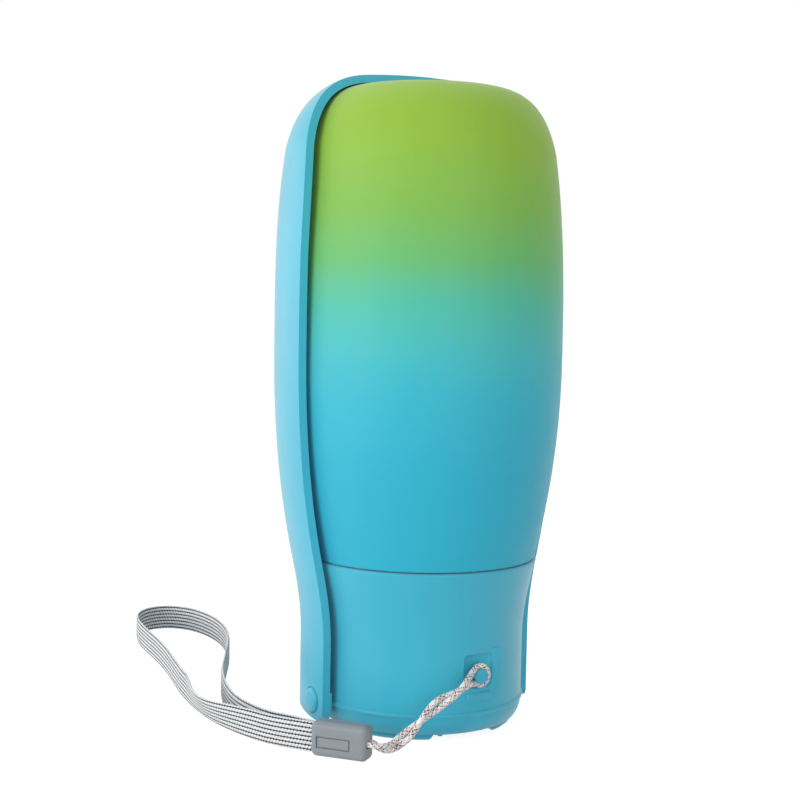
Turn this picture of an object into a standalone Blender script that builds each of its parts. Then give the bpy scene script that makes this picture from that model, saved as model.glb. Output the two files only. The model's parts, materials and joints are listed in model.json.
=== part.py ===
"""Pet water bottle with a fold-out drinking trough, standing upside down on its cap.

The bottle screws into the cap. A push button on the cap's back opens a valve,
and water runs out of the cap's foot into the trough, which turns on two pins
and covers the bottle's back half when it is closed. A wrist lanyard is looped
round a stud on the cap's front. Metres, +Z up, floor at Z = 0, front at -Y.
"""

import math

import bmesh
import bpy
from mathutils import Matrix, Vector
from mathutils.geometry import interpolate_bezier

# Cap: outer form
FOOT_HEIGHT = 0.0020
SEAM_HEIGHT = 0.0540
CAP_RADIUS = 0.03415
CAP_FLARE = 0.00395
CAP_WALL = 0.0022
FLARE_START_HEIGHT = 0.0280
RIM_FILLET = 0.0007
BASE_EDGE_INSET = 0.0020
BASE_CORNER_HEIGHT = 0.0054
BEAD_HEIGHT = 0.0084
BEAD_PROUD = 0.0006
BEAD_HALF_WIDTH = 0.0006

# Cap: inner deck, collar for the bottle's neck, and the seat of the base plate
DECK_THICKNESS = 0.0024
COLLAR_THICKNESS = 0.0022
COLLAR_SETBACK = 0.00115
COLLAR_TOP_DROP = 0.0035
INLET_RADIUS = 0.0036
LEDGE_THICKNESS = 0.0017
LEDGE_OVERLAP = 0.0015

# Clearances
FIT_GAP = 0.0003
THREAD_GAP = 0.0006
TROUGH_CAP_GAP = 0.00265
TROUGH_SEAM_GAP = 0.0024
TROUGH_BELLY_GAP = 0.00175
TROUGH_SHOULDER_GAP = 0.0026
TROUGH_DOME_GAP = 0.0008
CUT_OVERRUN = 0.0020
WELD_DISTANCE = 0.00002

# Bottle
BOTTLE_TOP = 0.2070
BOTTLE_WALL = 0.0016
BOTTLE_SEAM_STEP = 0.0003
BELLY_RADIUS = 0.0450
BELLY_HEIGHT = 0.1180
SHOULDER_RADIUS = 0.0413
SHOULDER_DROP = 0.0220
DOME_RADIUS = 0.0220
DOME_CROWN = 0.0010
NECK_WALL = 0.0022

# Slopes of the flowing outlines, as radius gained for each unit of height
SEAM_LEAN = 0.228
CAP_RIM_LEAN = 0.25
TROUGH_SEAM_LEAN = 0.215
SHOULDER_LEAN = -0.15
SHOULDER_PULL_SHARE = 0.66
SHOULDER_PULL_LEAN = -0.22
DOME_PULL_SHARE = 0.52
DOME_PULL_DROP = 0.0009
THIRD_SHARE = 1 / 3

# Trough
TROUGH_WALL = 0.0026
TROUGH_END_HEIGHT = 0.0030
TROUGH_BACK_RISE = 0.0034
TROUGH_FRONT = 0.0068
TROUGH_CORNER_RADIUS = 0.0022
TROUGH_TOP_SETBACK = 0.0045
TROUGH_FRONT_DROP = 0.0507
TROUGH_FRONT_PULL_SHARE = 0.67
TROUGH_TOP_PULL_SHARE = 0.28
TROUGH_TOP_PULL_SETBACK = 0.0030
TROUGH_EDGE_ROUND = 0.0007
TROUGH_BELLY_RISE = 0.0040
TROUGH_DOME_RADIUS = 0.0200

# Hinge
HINGE_HEIGHT = 0.0090
PIN_RADIUS = 0.0023
PIN_HEAD_RADIUS = 0.0040
PIN_HEAD_DOME = 0.0004
PIN_DOME_SHARE = 0.8
PIN_HEAD_SINK = 0.0005
PIN_HEAD_THICKNESS = 0.0010
PIN_TIP_RADIUS = 0.0027
PIN_TIP_LENGTH = 0.0013
PIN_INNER_REACH = 0.0022
PAD_BACK = 0.0066
PAD_BELOW = 0.0036
PAD_ABOVE = 0.0034
PAD_CAP_GAP = 0.0010
PAD_FRONT_SETBACK = 0.0002
PAD_ROUND = 0.0004

# Lug for the lanyard
LUG_SIDE = 0.0024
LUG_HEIGHT = 0.0206
LUG_POCKET_HALF_WIDTH = 0.0056
LUG_POCKET_BOTTOM = 0.0164
LUG_POCKET_TOP = 0.0274
LUG_POCKET_DEPTH = 0.0016
LUG_POCKET_ROUND = 0.0012
LUG_BACKING = 0.0025
STUD_RADIUS = 0.0017
STUD_HEAD_RADIUS = 0.0023
STUD_HEAD_THICKNESS = 0.0008
STUD_PROUD = 0.0022
LUG_RIB_HALF_WIDTH = 0.0046
LUG_RIB_BOTTOM = 0.0126
LUG_RIB_TOP = 0.0150
LUG_RIB_PROUD = 0.0008

# Base plate and its feet
PLATE_THICKNESS = 0.0024
FOOT_RING_WIDTH = 0.0044
NOTCH_HALF_WIDTH = 0.0107
NOTCH_SLANT = 0.0012
CHANNEL_WALL = 0.0012
CHANNEL_HALF_WIDTH = 0.0068
CHANNEL_HEIGHT = 0.0014

# Valve
VALVE_HEIGHT = 0.0200
HOUSING_RADIUS = 0.0082
HOUSING_SETBACK = 0.01215
HOUSING_BACK = 0.0120
INLET_BORE_RADIUS = 0.0060
SEAT_SHARE = 0.27
INLET_BORE_BACK = 0.0080
OUTLET_BORE_RADIUS = 0.0065
SEAT_THICKNESS = 0.0020
SEAT_RADIUS = 0.0034
TOWER_RADIUS = 0.0070
TOWER_RISE = 0.0024
TOWER_GASKET_THICKNESS = 0.0013
NOZZLE_SHARE = 0.64
NOZZLE_RADIUS = 0.0052
STEM_RADIUS = 0.0020
STEM_FLANGE_RADIUS = 0.0042
STEM_FLANGE_THICKNESS = 0.0011
STEM_TIP_LENGTH = 0.0012
SEAL_RADIUS = 0.0050
SEAL_THICKNESS = 0.0016
O_RING_RADIUS = 0.0040
O_RING_THICKNESS = 0.0018
WASHER_RADIUS = 0.0056
WASHER_THICKNESS = 0.0009
PLUG_FLANGE_THICKNESS = 0.0030
PLUG_LENGTH = 0.0030
PLUG_DISH_RADIUS = 0.0040
PLUG_DISH_DEPTH = 0.0012

# Push button and its spring
BUTTON_RADIUS = 0.0070
BUTTON_PROUD = 0.00165
BUTTON_CROWN = 0.0005
BUTTON_FACE_THICKNESS = 0.0022
BUTTON_LIP_RADIUS = 0.0084
BUTTON_LIP_THICKNESS = 0.0013
BUTTON_BORE_RADIUS = 0.0057
BUTTON_BOSS_RADIUS = 0.0036
BUTTON_BOSS_LENGTH = 0.0050
BUTTON_GROOVE_DEPTH = 0.0004
BUTTON_GROOVE_SHARE = 0.55
BUTTON_COLLAR_DEPTH = 0.00815
BUTTON_COLLAR_RADIUS = 0.0092
BUTTON_COLLAR_SINK_SHARE = 0.75
SPRING_RADIUS = 0.0046
SPRING_WIRE = 0.0007
SPRING_TURNS = 7
SPRING_POINTS = 8

# Seals at the bottle's neck and the vent
NECK_GASKET_WIDTH = 0.0036
NECK_GASKET_THICKNESS = 0.0020
VENT_HOLE_RADIUS = 0.0021
VENT_DISC_RADIUS = 0.0050
VENT_DISC_THICKNESS = 0.0009
VENT_BULB_RADIUS = 0.0028
VENT_BULB_LENGTH = 0.0017

# Lanyard clasp
CLASP_LENGTH = 0.0184
CLASP_HEIGHT = 0.0108
CLASP_DEPTH = 0.0066
CLASP_ROUND = 0.0014
CLASP_SIDE_GAP = 0.01015
CLASP_FRONT_SETBACK = 0.00255
CLASP_TURN = math.radians(-49.5)
CLASP_PANEL_LENGTH = 0.0110
CLASP_PANEL_HEIGHT = 0.0032
CLASP_PANEL_DEPTH = 0.0004
CLASP_BAND_POCKET_LENGTH = 0.0080
CLASP_CORD_POCKET_LENGTH = 0.0070
CLASP_CORD_POCKET_HALF_HEIGHT = 0.0013
CLASP_CORD_POCKET_HALF_DEPTH = 0.0024

# Lanyard band: a flat braid that stands on its edge, and its route on the floor
# about the clasp's centre
BAND_WIDTH = 0.0094
BAND_THICKNESS = 0.0011
BAND_LIFT = 0.0003
BAND_LAYER_GAP = 0.0005
BAND_ROUTE = (
    (-0.0120, 0.0148), (-0.0162, 0.0238), (-0.0196, 0.0348), (-0.0216, 0.0478),
    (-0.0217, 0.0628), (-0.0200, 0.0798), (-0.0172, 0.0958), (-0.0140, 0.1128),
    (-0.0116, 0.1298), (-0.0100, 0.1468), (-0.0080, 0.1608), (-0.0040, 0.1728),
    (0.0025, 0.1798), (0.0105, 0.1808), (0.0170, 0.1748), (0.0202, 0.1638),
    (0.0204, 0.1488), (0.0170, 0.1318), (0.0105, 0.1148), (0.0020, 0.0968),
    (-0.0060, 0.0798), (-0.0120, 0.0628), (-0.0152, 0.0468), (-0.0150, 0.0338),
    (-0.0128, 0.0238), (-0.0094, 0.0164),
)
BAND_POINTS = 72
BAND_CLASP_REACH = 0.0180
BAND_CLASP_SHARE = 0.5
BAND_LEAN_PLACE = 0.0560
BAND_LEAN_SPREAD = 0.0280
BAND_LEAN = math.radians(26)

# Lanyard cord: two strands from the clasp's pocket to the stud. The route of their middle is about
# the cap's front at the stud, for a clasp that stands as far to its left as the span says.
CORD_DIAMETER = 0.0019
CORD_STRAND_SPACING = 0.0022
CORD_HALF_TURNS = 2.5
CORD_STRAIGHT_SHARE = 0.14
CORD_END_GAP = 0.0018
CORD_LOOP_RADIUS = 0.0030
CORD_LOOP_TURN = math.radians(250)
CORD_LOOP_POINTS = 8
CORD_ROUTE_SPAN = 0.0443
CORD_FREE_PLACE = -0.0279
CORD_PAIR_ROUTE = (
    (-0.0369, -0.0056, 0.0047), (-0.0350, -0.0060, 0.0041), (-0.0319, -0.0056, 0.0037),
    (-0.0279, -0.0053, 0.0054), (-0.0243, -0.0053, 0.0080), (-0.0200, -0.0055, 0.0117),
    (-0.0152, -0.0058, 0.0152), (-0.0106, -0.0060, 0.0172), (-0.0068, -0.0054, 0.0190),
    (-0.0038, -0.0042, 0.0202),
)
CORD_POINTS = 52

ROUND_STEPS = 36
SMALL_ROUND_STEPS = 18
SHARP_ANGLE = math.radians(32)

# Worked out from the sizes above
DECK_BOTTOM_HEIGHT = VALVE_HEIGHT + HOUSING_RADIUS + TOWER_RISE
DECK_TOP = DECK_BOTTOM_HEIGHT + DECK_THICKNESS
CAP_INNER_RADIUS = CAP_RADIUS - CAP_WALL
CAP_RIM_RADIUS = CAP_RADIUS + CAP_FLARE
BASE_EDGE_RADIUS = CAP_RADIUS - BASE_EDGE_INSET
COLLAR_OUTER_RADIUS = CAP_INNER_RADIUS - COLLAR_SETBACK
COLLAR_INNER_RADIUS = COLLAR_OUTER_RADIUS - COLLAR_THICKNESS
NECK_RADIUS = COLLAR_INNER_RADIUS - THREAD_GAP
NECK_GASKET_RADIUS = COLLAR_INNER_RADIUS - FIT_GAP - NECK_GASKET_WIDTH
BOTTLE_SEAM_RADIUS = CAP_RIM_RADIUS - BOTTLE_SEAM_STEP
SHOULDER_HEIGHT = BOTTLE_TOP - SHOULDER_DROP
TROUGH_BELLY_HEIGHT = BELLY_HEIGHT + TROUGH_BELLY_RISE
PLATE_RADIUS = BASE_EDGE_RADIUS - RIM_FILLET - FIT_GAP
PLATE_TOP = FOOT_HEIGHT + PLATE_THICKNESS
LEDGE_BOTTOM = PLATE_TOP + FIT_GAP
BOTTLE_SEAT = SEAM_HEIGHT + FIT_GAP
TROUGH_INNER_RADIUS = CAP_RADIUS + TROUGH_CAP_GAP
TROUGH_OUTER_RADIUS = TROUGH_INNER_RADIUS + TROUGH_WALL
TROUGH_BELLY_RADIUS = BELLY_RADIUS + TROUGH_BELLY_GAP
PAD_FACE = CAP_RADIUS + PAD_CAP_GAP
STEM_BORE_RADIUS = STEM_RADIUS + FIT_GAP
SPRING_SEAT = HOUSING_BACK + FIT_GAP + WASHER_THICKNESS
HOUSING_FRONT = CAP_RADIUS - HOUSING_SETBACK
NOZZLE_PLACE = HOUSING_FRONT * NOZZLE_SHARE
INLET_BORE_FRONT = HOUSING_FRONT * SEAT_SHARE
SEAT_FRONT = INLET_BORE_FRONT + SEAT_THICKNESS
BUTTON_REACH = CAP_RADIUS + BUTTON_PROUD
BUTTON_COLLAR_REACH = CAP_RADIUS - BUTTON_COLLAR_DEPTH
BUTTON_FLOOR = BUTTON_REACH - BUTTON_FACE_THICKNESS
BUTTON_INNER_END = BUTTON_COLLAR_REACH - FIT_GAP - BUTTON_LIP_THICKNESS
VENT_PLACE = (TOWER_RADIUS + NECK_GASKET_RADIUS) / 2
STEM_END = BUTTON_FLOOR - FIT_GAP
CLASP_CENTRE_X = -CAP_RADIUS - CLASP_SIDE_GAP
CLASP_CENTRE_Y = CLASP_FRONT_SETBACK - CAP_RADIUS

# The trough makes the object deeper behind the axis than in front of it, so the
# bottle's axis stands this far forward of the middle of the whole object.
AXIS_Y = (BELLY_RADIUS - TROUGH_BELLY_RADIUS - TROUGH_WALL) / 2

BLUE = (0.130, 0.560, 0.700)
GREEN_TO_BLUE = (0.330, 0.620, 0.330)
CLEAR_SILICONE = (0.780, 0.800, 0.790)
INNER_WHITE = (0.800, 0.810, 0.810)
SPRING_STEEL = (0.560, 0.570, 0.580)
CLASP_GREY = (0.230, 0.260, 0.280)
BRAID_GREY = (0.620, 0.620, 0.620)


def clear_scene():
    """Removes what the new file came with."""
    for obj in list(bpy.data.objects):
        bpy.data.objects.remove(obj, do_unlink=True)


def finish(name, colour, roughness, metallic=0.0):
    """A plain material with the given colour and sheen."""
    found = bpy.data.materials.get(name)
    if found:
        return found
    made = bpy.data.materials.new(name)
    made.use_nodes = True
    shader = made.node_tree.nodes["Principled BSDF"]
    shader.inputs["Base Color"].default_value = (*colour, 1.0)
    shader.inputs["Roughness"].default_value = roughness
    shader.inputs["Metallic"].default_value = metallic
    made.diffuse_color = (*colour, 1.0)
    return made


def empty(name, place, parent=None):
    """An empty that carries a body's pieces."""
    made = bpy.data.objects.new(name, None)
    made.empty_display_size = CAP_WALL
    made.location = place
    made.parent = parent
    bpy.context.scene.collection.objects.link(made)
    return made


def add_mesh(name, bm, look, carrier, origin=(0, 0, 0)):
    """Links a bmesh built about the bottle's axis, with its object's origin at the carrier."""
    bmesh.ops.recalc_face_normals(bm, faces=bm.faces)
    bm.transform(Matrix.Translation(-Vector(origin)))
    mesh = bpy.data.meshes.new(name)
    bm.to_mesh(mesh)
    bm.free()
    mesh.shade_smooth()
    mesh.set_sharp_from_angle(angle=SHARP_ANGLE)
    mesh.materials.append(look)
    made = bpy.data.objects.new(name, mesh)
    made.parent = carrier
    bpy.context.scene.collection.objects.link(made)
    return made


def helper(obj):
    """A cutter or a piece that is joined to another one."""
    obj.hide_render = True
    obj.display_type = "WIRE"
    return obj


def combine(obj, tool, operation):
    """Adds or cuts a shape with a modifier, and marks the tool as one."""
    modifier = obj.modifiers.new(f"{operation.title()} {tool.name}", "BOOLEAN")
    modifier.object = helper(tool)
    modifier.operation = operation
    modifier.solver = "EXACT"


def round_edges(obj, width, angle=math.radians(50), segments=2):
    """Rounds the edges sharper than the angle."""
    weld = obj.modifiers.new("Merged points", "WELD")
    weld.merge_threshold = WELD_DISTANCE
    bevel = obj.modifiers.new("Rounded edges", "BEVEL")
    bevel.width = width
    bevel.segments = segments
    bevel.limit_method = "ANGLE"
    bevel.angle_limit = angle


def flow(start, start_pull, end_pull, end, steps):
    """Points of a smooth curve in (radius, height), without its last point."""
    knots = [Vector((*p, 0.0)) for p in (start, start_pull, end_pull, end)]
    return [(p.x, p.y) for p in interpolate_bezier(*knots, steps + 1)[:-1]]


def leaning(start, start_lean, end, end_lean, steps):
    """A flow whose two ends leave and arrive at the given slopes."""
    reach = (end[1] - start[1]) * THIRD_SHARE
    return flow(
        start,
        (start[0] + start_lean * reach, start[1] + reach),
        (end[0] - end_lean * reach, end[1] - reach),
        end,
        steps,
    )


def crown(start, apex_radius, apex, steps):
    """The rounded shoulder that turns over into the almost flat top."""
    rise = apex - start[1]
    drop = start[0] - apex_radius
    return flow(
        start,
        (start[0] + SHOULDER_PULL_LEAN * rise * SHOULDER_PULL_SHARE, start[1] + rise * SHOULDER_PULL_SHARE),
        (apex_radius + drop * DOME_PULL_SHARE, apex - DOME_PULL_DROP),
        (apex_radius, apex),
        steps,
    )


def beside(path, distance):
    """The path moved sideways, to its left as it runs from bottom to top for a positive distance."""
    moved = []
    for i, (r, z) in enumerate(path):
        before = Vector(path[max(i - 1, 0)])
        after = Vector(path[min(i + 1, len(path) - 1)])
        along = (after - before).normalized()
        moved.append((max(r - along.y * distance, 0.0), z + along.x * distance))
    return moved


AXES = {
    "Z": Matrix.Identity(3),
    "Y": Matrix(((1, 0, 0), (0, 0, 1), (0, -1, 0))),
    "X": Matrix(((0, 0, 1), (0, 1, 0), (-1, 0, 0))),
}


def turned_mesh(outline, axis="Z", centre=(0, 0, 0), steps=SMALL_ROUND_STEPS):
    """A closed outline of (radius, place along the axis) turned round the axis."""
    bm = bmesh.new()
    rings = []
    for radius, along in outline:
        if radius == 0:
            rings.append([bm.verts.new((0, 0, along))])
            continue
        angles = [2 * math.pi * i / steps for i in range(steps)]
        rings.append([bm.verts.new((radius * math.cos(a), radius * math.sin(a), along)) for a in angles])
    for first, second in zip(rings, rings[1:] + rings[:1]):
        if len(first) == 1 and len(second) == 1:
            continue
        for i in range(steps):
            j = (i + 1) % steps
            corners = [first[i % len(first)], first[j % len(first)]]
            corners += [second[j % len(second)], second[i % len(second)]]
            bm.faces.new(list(dict.fromkeys(corners)))
    bm.transform(Matrix.Translation(centre) @ AXES[axis].to_4x4())
    return bm


def rod_outline(radius, start, end):
    """Half the section of a solid rod."""
    return [(0, start), (radius, start), (radius, end), (0, end)]


def ring_outline(inner, outer, start, end):
    """The section of a flat ring."""
    return [(inner, start), (outer, start), (outer, end), (inner, end)]


def rod(name, radius, start, end, axis, centre, look, carrier, steps=SMALL_ROUND_STEPS):
    return add_mesh(name, turned_mesh(rod_outline(radius, start, end), axis, centre, steps), look, carrier)


def box(name, low, high, look, carrier):
    """A box between two corners."""
    bm = bmesh.new()
    bmesh.ops.create_cube(bm, size=1)
    size = Vector(high) - Vector(low)
    middle = (Vector(high) + Vector(low)) / 2
    bm.transform(Matrix.Translation(middle) @ Matrix.Diagonal((*size, 1)))
    return add_mesh(name, bm, look, carrier)


def prism(name, outline, low, high, along, look, carrier):
    """A flat outline pushed along X or Y. The outline's points are the other two coordinates."""
    bm = bmesh.new()
    ends = []
    for at in (low, high):
        if along == "X":
            ends.append([bm.verts.new((at, a, b)) for a, b in outline])
        else:
            ends.append([bm.verts.new((a, at, b)) for a, b in outline])
    bm.faces.new(ends[0])
    bm.faces.new(ends[1][::-1])
    for i in range(len(outline)):
        j = (i + 1) % len(outline)
        bm.faces.new((ends[0][i], ends[1][i], ends[1][j], ends[0][j]))
    return add_mesh(name, bm, look, carrier)


def bottle_side():
    """The bottle's outer side in (radius, height), from the seam up to the axis."""
    seam = (BOTTLE_SEAM_RADIUS, BOTTLE_SEAT + RIM_FILLET)
    belly = (BELLY_RADIUS, BELLY_HEIGHT)
    shoulder = (SHOULDER_RADIUS, SHOULDER_HEIGHT)
    side = leaning(seam, SEAM_LEAN, belly, 0.0, 5)
    side += leaning(belly, 0.0, shoulder, SHOULDER_LEAN, 4)
    side += crown(shoulder, DOME_RADIUS, BOTTLE_TOP - DOME_CROWN, 6)
    side += [(DOME_RADIUS, BOTTLE_TOP - DOME_CROWN), (DOME_RADIUS / 2, BOTTLE_TOP - DOME_CROWN / 4)]
    side += [(0.0, BOTTLE_TOP)]
    return side


def make_bottle(carrier, look):
    """The bottle, turned from its outer and inner side."""
    outer = bottle_side()
    inner = beside(outer, BOTTLE_WALL)[:-1:2] + [(0.0, BOTTLE_TOP - BOTTLE_WALL)]
    neck_inner = NECK_RADIUS - NECK_WALL
    neck_end = DECK_TOP + FIT_GAP + NECK_GASKET_THICKNESS + FIT_GAP
    outline = [(BOTTLE_SEAM_RADIUS - RIM_FILLET, BOTTLE_SEAT)] + outer
    outline += inner[::-1]
    outline += [
        (neck_inner + NECK_WALL, BOTTLE_SEAT + BOTTLE_WALL),
        (neck_inner, BOTTLE_SEAT),
        (neck_inner, neck_end),
        (NECK_RADIUS, neck_end),
        (NECK_RADIUS, BOTTLE_SEAT),
    ]
    return add_mesh("bottle_body", turned_mesh(outline, steps=ROUND_STEPS), look, carrier)


def cap_side():
    """The cap's outer side in (radius, height), from its base edge up to the rim."""
    corner_top = FOOT_HEIGHT + BASE_CORNER_HEIGHT
    base = (BASE_EDGE_RADIUS, FOOT_HEIGHT)
    corner = (CAP_RADIUS, corner_top)
    half = BASE_CORNER_HEIGHT / 2
    base_pull = (CAP_RADIUS - half / 2, FOOT_HEIGHT + half / 4)
    side = flow(base, base_pull, (CAP_RADIUS, FOOT_HEIGHT + half), corner, 4)
    side += [
        corner,
        (CAP_RADIUS, BEAD_HEIGHT - BEAD_HALF_WIDTH),
        (CAP_RADIUS + BEAD_PROUD, BEAD_HEIGHT),
        (CAP_RADIUS, BEAD_HEIGHT + BEAD_HALF_WIDTH),
    ]
    rim = (CAP_RIM_RADIUS, SEAM_HEIGHT - RIM_FILLET)
    flare = leaning((CAP_RADIUS, FLARE_START_HEIGHT), 0.0, rim, CAP_RIM_LEAN, 5)
    return side, flare + [rim]


def make_cap_shell(carrier, look):
    """The cap, turned in one piece with its deck and collar, then cut and added to."""
    low_side, flare = cap_side()
    inner_flare = [(r, z) for r, z in beside(flare, CAP_WALL) if z > DECK_TOP + RIM_FILLET]
    plate_seat = PLATE_RADIUS + FIT_GAP
    ledge_inner = plate_seat - LEDGE_OVERLAP
    collar_top = SEAM_HEIGHT - COLLAR_TOP_DROP
    outline = low_side + flare
    outline += [(CAP_RIM_RADIUS - RIM_FILLET, SEAM_HEIGHT), (CAP_RIM_RADIUS - CAP_WALL, SEAM_HEIGHT)]
    outline += inner_flare[-2::-1]
    outline += [
        (CAP_INNER_RADIUS, DECK_TOP),
        (COLLAR_OUTER_RADIUS, DECK_TOP),
        (COLLAR_OUTER_RADIUS, collar_top),
        (COLLAR_INNER_RADIUS, collar_top),
        (COLLAR_INNER_RADIUS, DECK_TOP),
        (INLET_RADIUS, DECK_TOP),
        (INLET_RADIUS, DECK_BOTTOM_HEIGHT),
        (CAP_INNER_RADIUS, DECK_BOTTOM_HEIGHT),
        (CAP_INNER_RADIUS, BEAD_HEIGHT),
        (ledge_inner, LEDGE_BOTTOM + LEDGE_THICKNESS),
        (ledge_inner, LEDGE_BOTTOM),
        (plate_seat, LEDGE_BOTTOM),
        (plate_seat, FOOT_HEIGHT),
    ]
    shell = add_mesh("cap_shell", turned_mesh(outline, steps=ROUND_STEPS), look, carrier)
    low, high = DECK_BOTTOM_HEIGHT - CUT_OVERRUN, DECK_TOP + CUT_OVERRUN
    vent = rod("vent_hole", VENT_HOLE_RADIUS, low, high, "Z", (VENT_PLACE, 0, 0), look, carrier)
    combine(shell, vent, "DIFFERENCE")
    add_hinge_bores(shell, carrier, look)
    add_lug(shell, carrier, look)
    add_button_collar(shell, carrier, look)
    return shell


def add_hinge_bores(shell, carrier, look):
    """The holes for the two pins, with room behind them for the snap tips."""
    centre = (0, 0, HINGE_HEIGHT)
    start = CAP_INNER_RADIUS - CAP_WALL
    for side, word in ((-1, "left"), (1, "right")):
        reach = sorted((side * start, side * (CAP_RADIUS + CUT_OVERRUN)))
        bore = rod(f"pin_bore_{word}", PIN_RADIUS + FIT_GAP, *reach, "X", centre, look, carrier)
        combine(shell, bore, "DIFFERENCE")
        reach = sorted((side * (start - PIN_INNER_REACH), side * (CAP_INNER_RADIUS - FIT_GAP)))
        relief = rod(f"pin_relief_{word}", PIN_TIP_RADIUS + FIT_GAP, *reach, "X", centre, look, carrier)
        combine(shell, relief, "DIFFERENCE")


def add_lug(shell, carrier, look):
    """The pocket with its backing inside the cap, the rib below it, and the stud that the cord goes round."""
    pocket_floor = CAP_RADIUS - LUG_POCKET_DEPTH
    width = LUG_POCKET_HALF_WIDTH + CAP_WALL
    backing = box("lug_backing",
                  (LUG_SIDE - width, -pocket_floor - LUG_POCKET_DEPTH / 2, LUG_POCKET_BOTTOM - CAP_WALL),
                  (LUG_SIDE + width, -pocket_floor + LUG_BACKING, LUG_POCKET_TOP + CAP_WALL / 2),
                  look, carrier)
    combine(shell, backing, "UNION")
    rib = box("lug_rib", (LUG_SIDE - LUG_RIB_HALF_WIDTH, -CAP_RADIUS - LUG_RIB_PROUD, LUG_RIB_BOTTOM),
              (LUG_SIDE + LUG_RIB_HALF_WIDTH, -CAP_RADIUS + CAP_WALL / 2, LUG_RIB_TOP), look, carrier)
    round_edges(rib, LUG_RIB_PROUD / 2)
    combine(shell, rib, "UNION")
    pocket = box("lug_pocket",
                 (LUG_SIDE - LUG_POCKET_HALF_WIDTH, -CAP_RADIUS - CUT_OVERRUN, LUG_POCKET_BOTTOM),
                 (LUG_SIDE + LUG_POCKET_HALF_WIDTH, -pocket_floor, LUG_POCKET_TOP), look, carrier)
    round_edges(pocket, LUG_POCKET_ROUND)
    combine(shell, pocket, "DIFFERENCE")
    tip = CAP_RADIUS + STUD_PROUD
    head = tip - STUD_HEAD_THICKNESS
    root = -pocket_floor + LUG_BACKING / 2
    stud = [(0, root), (0, -tip), (STUD_RADIUS, -tip), (STUD_HEAD_RADIUS, -tip + STUD_HEAD_THICKNESS / 4),
            (STUD_HEAD_RADIUS, -head), (STUD_RADIUS, -head), (STUD_RADIUS, root)]
    made = add_mesh("lug_stud", turned_mesh(stud, "Y", (LUG_SIDE, 0, LUG_HEIGHT)), look, carrier)
    combine(shell, made, "UNION")


def add_button_collar(shell, carrier, look):
    """A collar on the cap's back wall, with the bore that the button slides in."""
    centre = (0, 0, VALVE_HEIGHT)
    sunk = CAP_RADIUS - CAP_WALL * BUTTON_COLLAR_SINK_SHARE
    collar = rod("button_collar", BUTTON_COLLAR_RADIUS, BUTTON_COLLAR_REACH, sunk, "Y", centre, look, carrier)
    combine(shell, collar, "UNION")
    bore = rod("button_bore", BUTTON_RADIUS + FIT_GAP, BUTTON_COLLAR_REACH - CUT_OVERRUN,
               CAP_RADIUS + CUT_OVERRUN, "Y", centre, look, carrier, SMALL_ROUND_STEPS)
    combine(shell, bore, "DIFFERENCE")


def make_base_plate(carrier, look):
    """The cap's foot: a disc on four feet, with the channel that leads the water out through a notch."""
    ring_inner = PLATE_RADIUS - FOOT_RING_WIDTH
    outline = [(0, FOOT_HEIGHT), (ring_inner, FOOT_HEIGHT), (ring_inner, 0), (PLATE_RADIUS - RIM_FILLET, 0),
               (PLATE_RADIUS, RIM_FILLET), (PLATE_RADIUS, PLATE_TOP), (0, PLATE_TOP)]
    plate = add_mesh("base_plate", turned_mesh(outline, steps=ROUND_STEPS), look, carrier)
    reach = PLATE_RADIUS + CUT_OVERRUN
    for along in ("X", "Y"):
        notch = [(-NOTCH_HALF_WIDTH, FOOT_HEIGHT), (NOTCH_HALF_WIDTH, FOOT_HEIGHT),
                 (NOTCH_HALF_WIDTH + 2 * NOTCH_SLANT, -FOOT_HEIGHT),
                 (-NOTCH_HALF_WIDTH - 2 * NOTCH_SLANT, -FOOT_HEIGHT)]
        cutter = prism(f"foot_notch_{along.lower()}", notch, -reach, reach, along, look, carrier)
        combine(plate, cutter, "DIFFERENCE")
    for side, word in ((-1, "left"), (1, "right")):
        inner, outer = sorted((side * CHANNEL_HALF_WIDTH, side * (CHANNEL_HALF_WIDTH + CHANNEL_WALL)))
        wall = box(f"channel_wall_{word}", (inner, -ring_inner - CHANNEL_WALL, FOOT_HEIGHT - CHANNEL_HEIGHT),
                   (outer, -NOZZLE_PLACE, FOOT_HEIGHT + PLATE_THICKNESS / 2), look, carrier)
        combine(plate, wall, "UNION")
    hole = rod("nozzle_hole", NOZZLE_RADIUS + FIT_GAP, -CUT_OVERRUN, PLATE_TOP + CUT_OVERRUN,
               "Z", (0, -NOZZLE_PLACE, 0), look, carrier)
    combine(plate, hole, "DIFFERENCE")
    return plate


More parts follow.
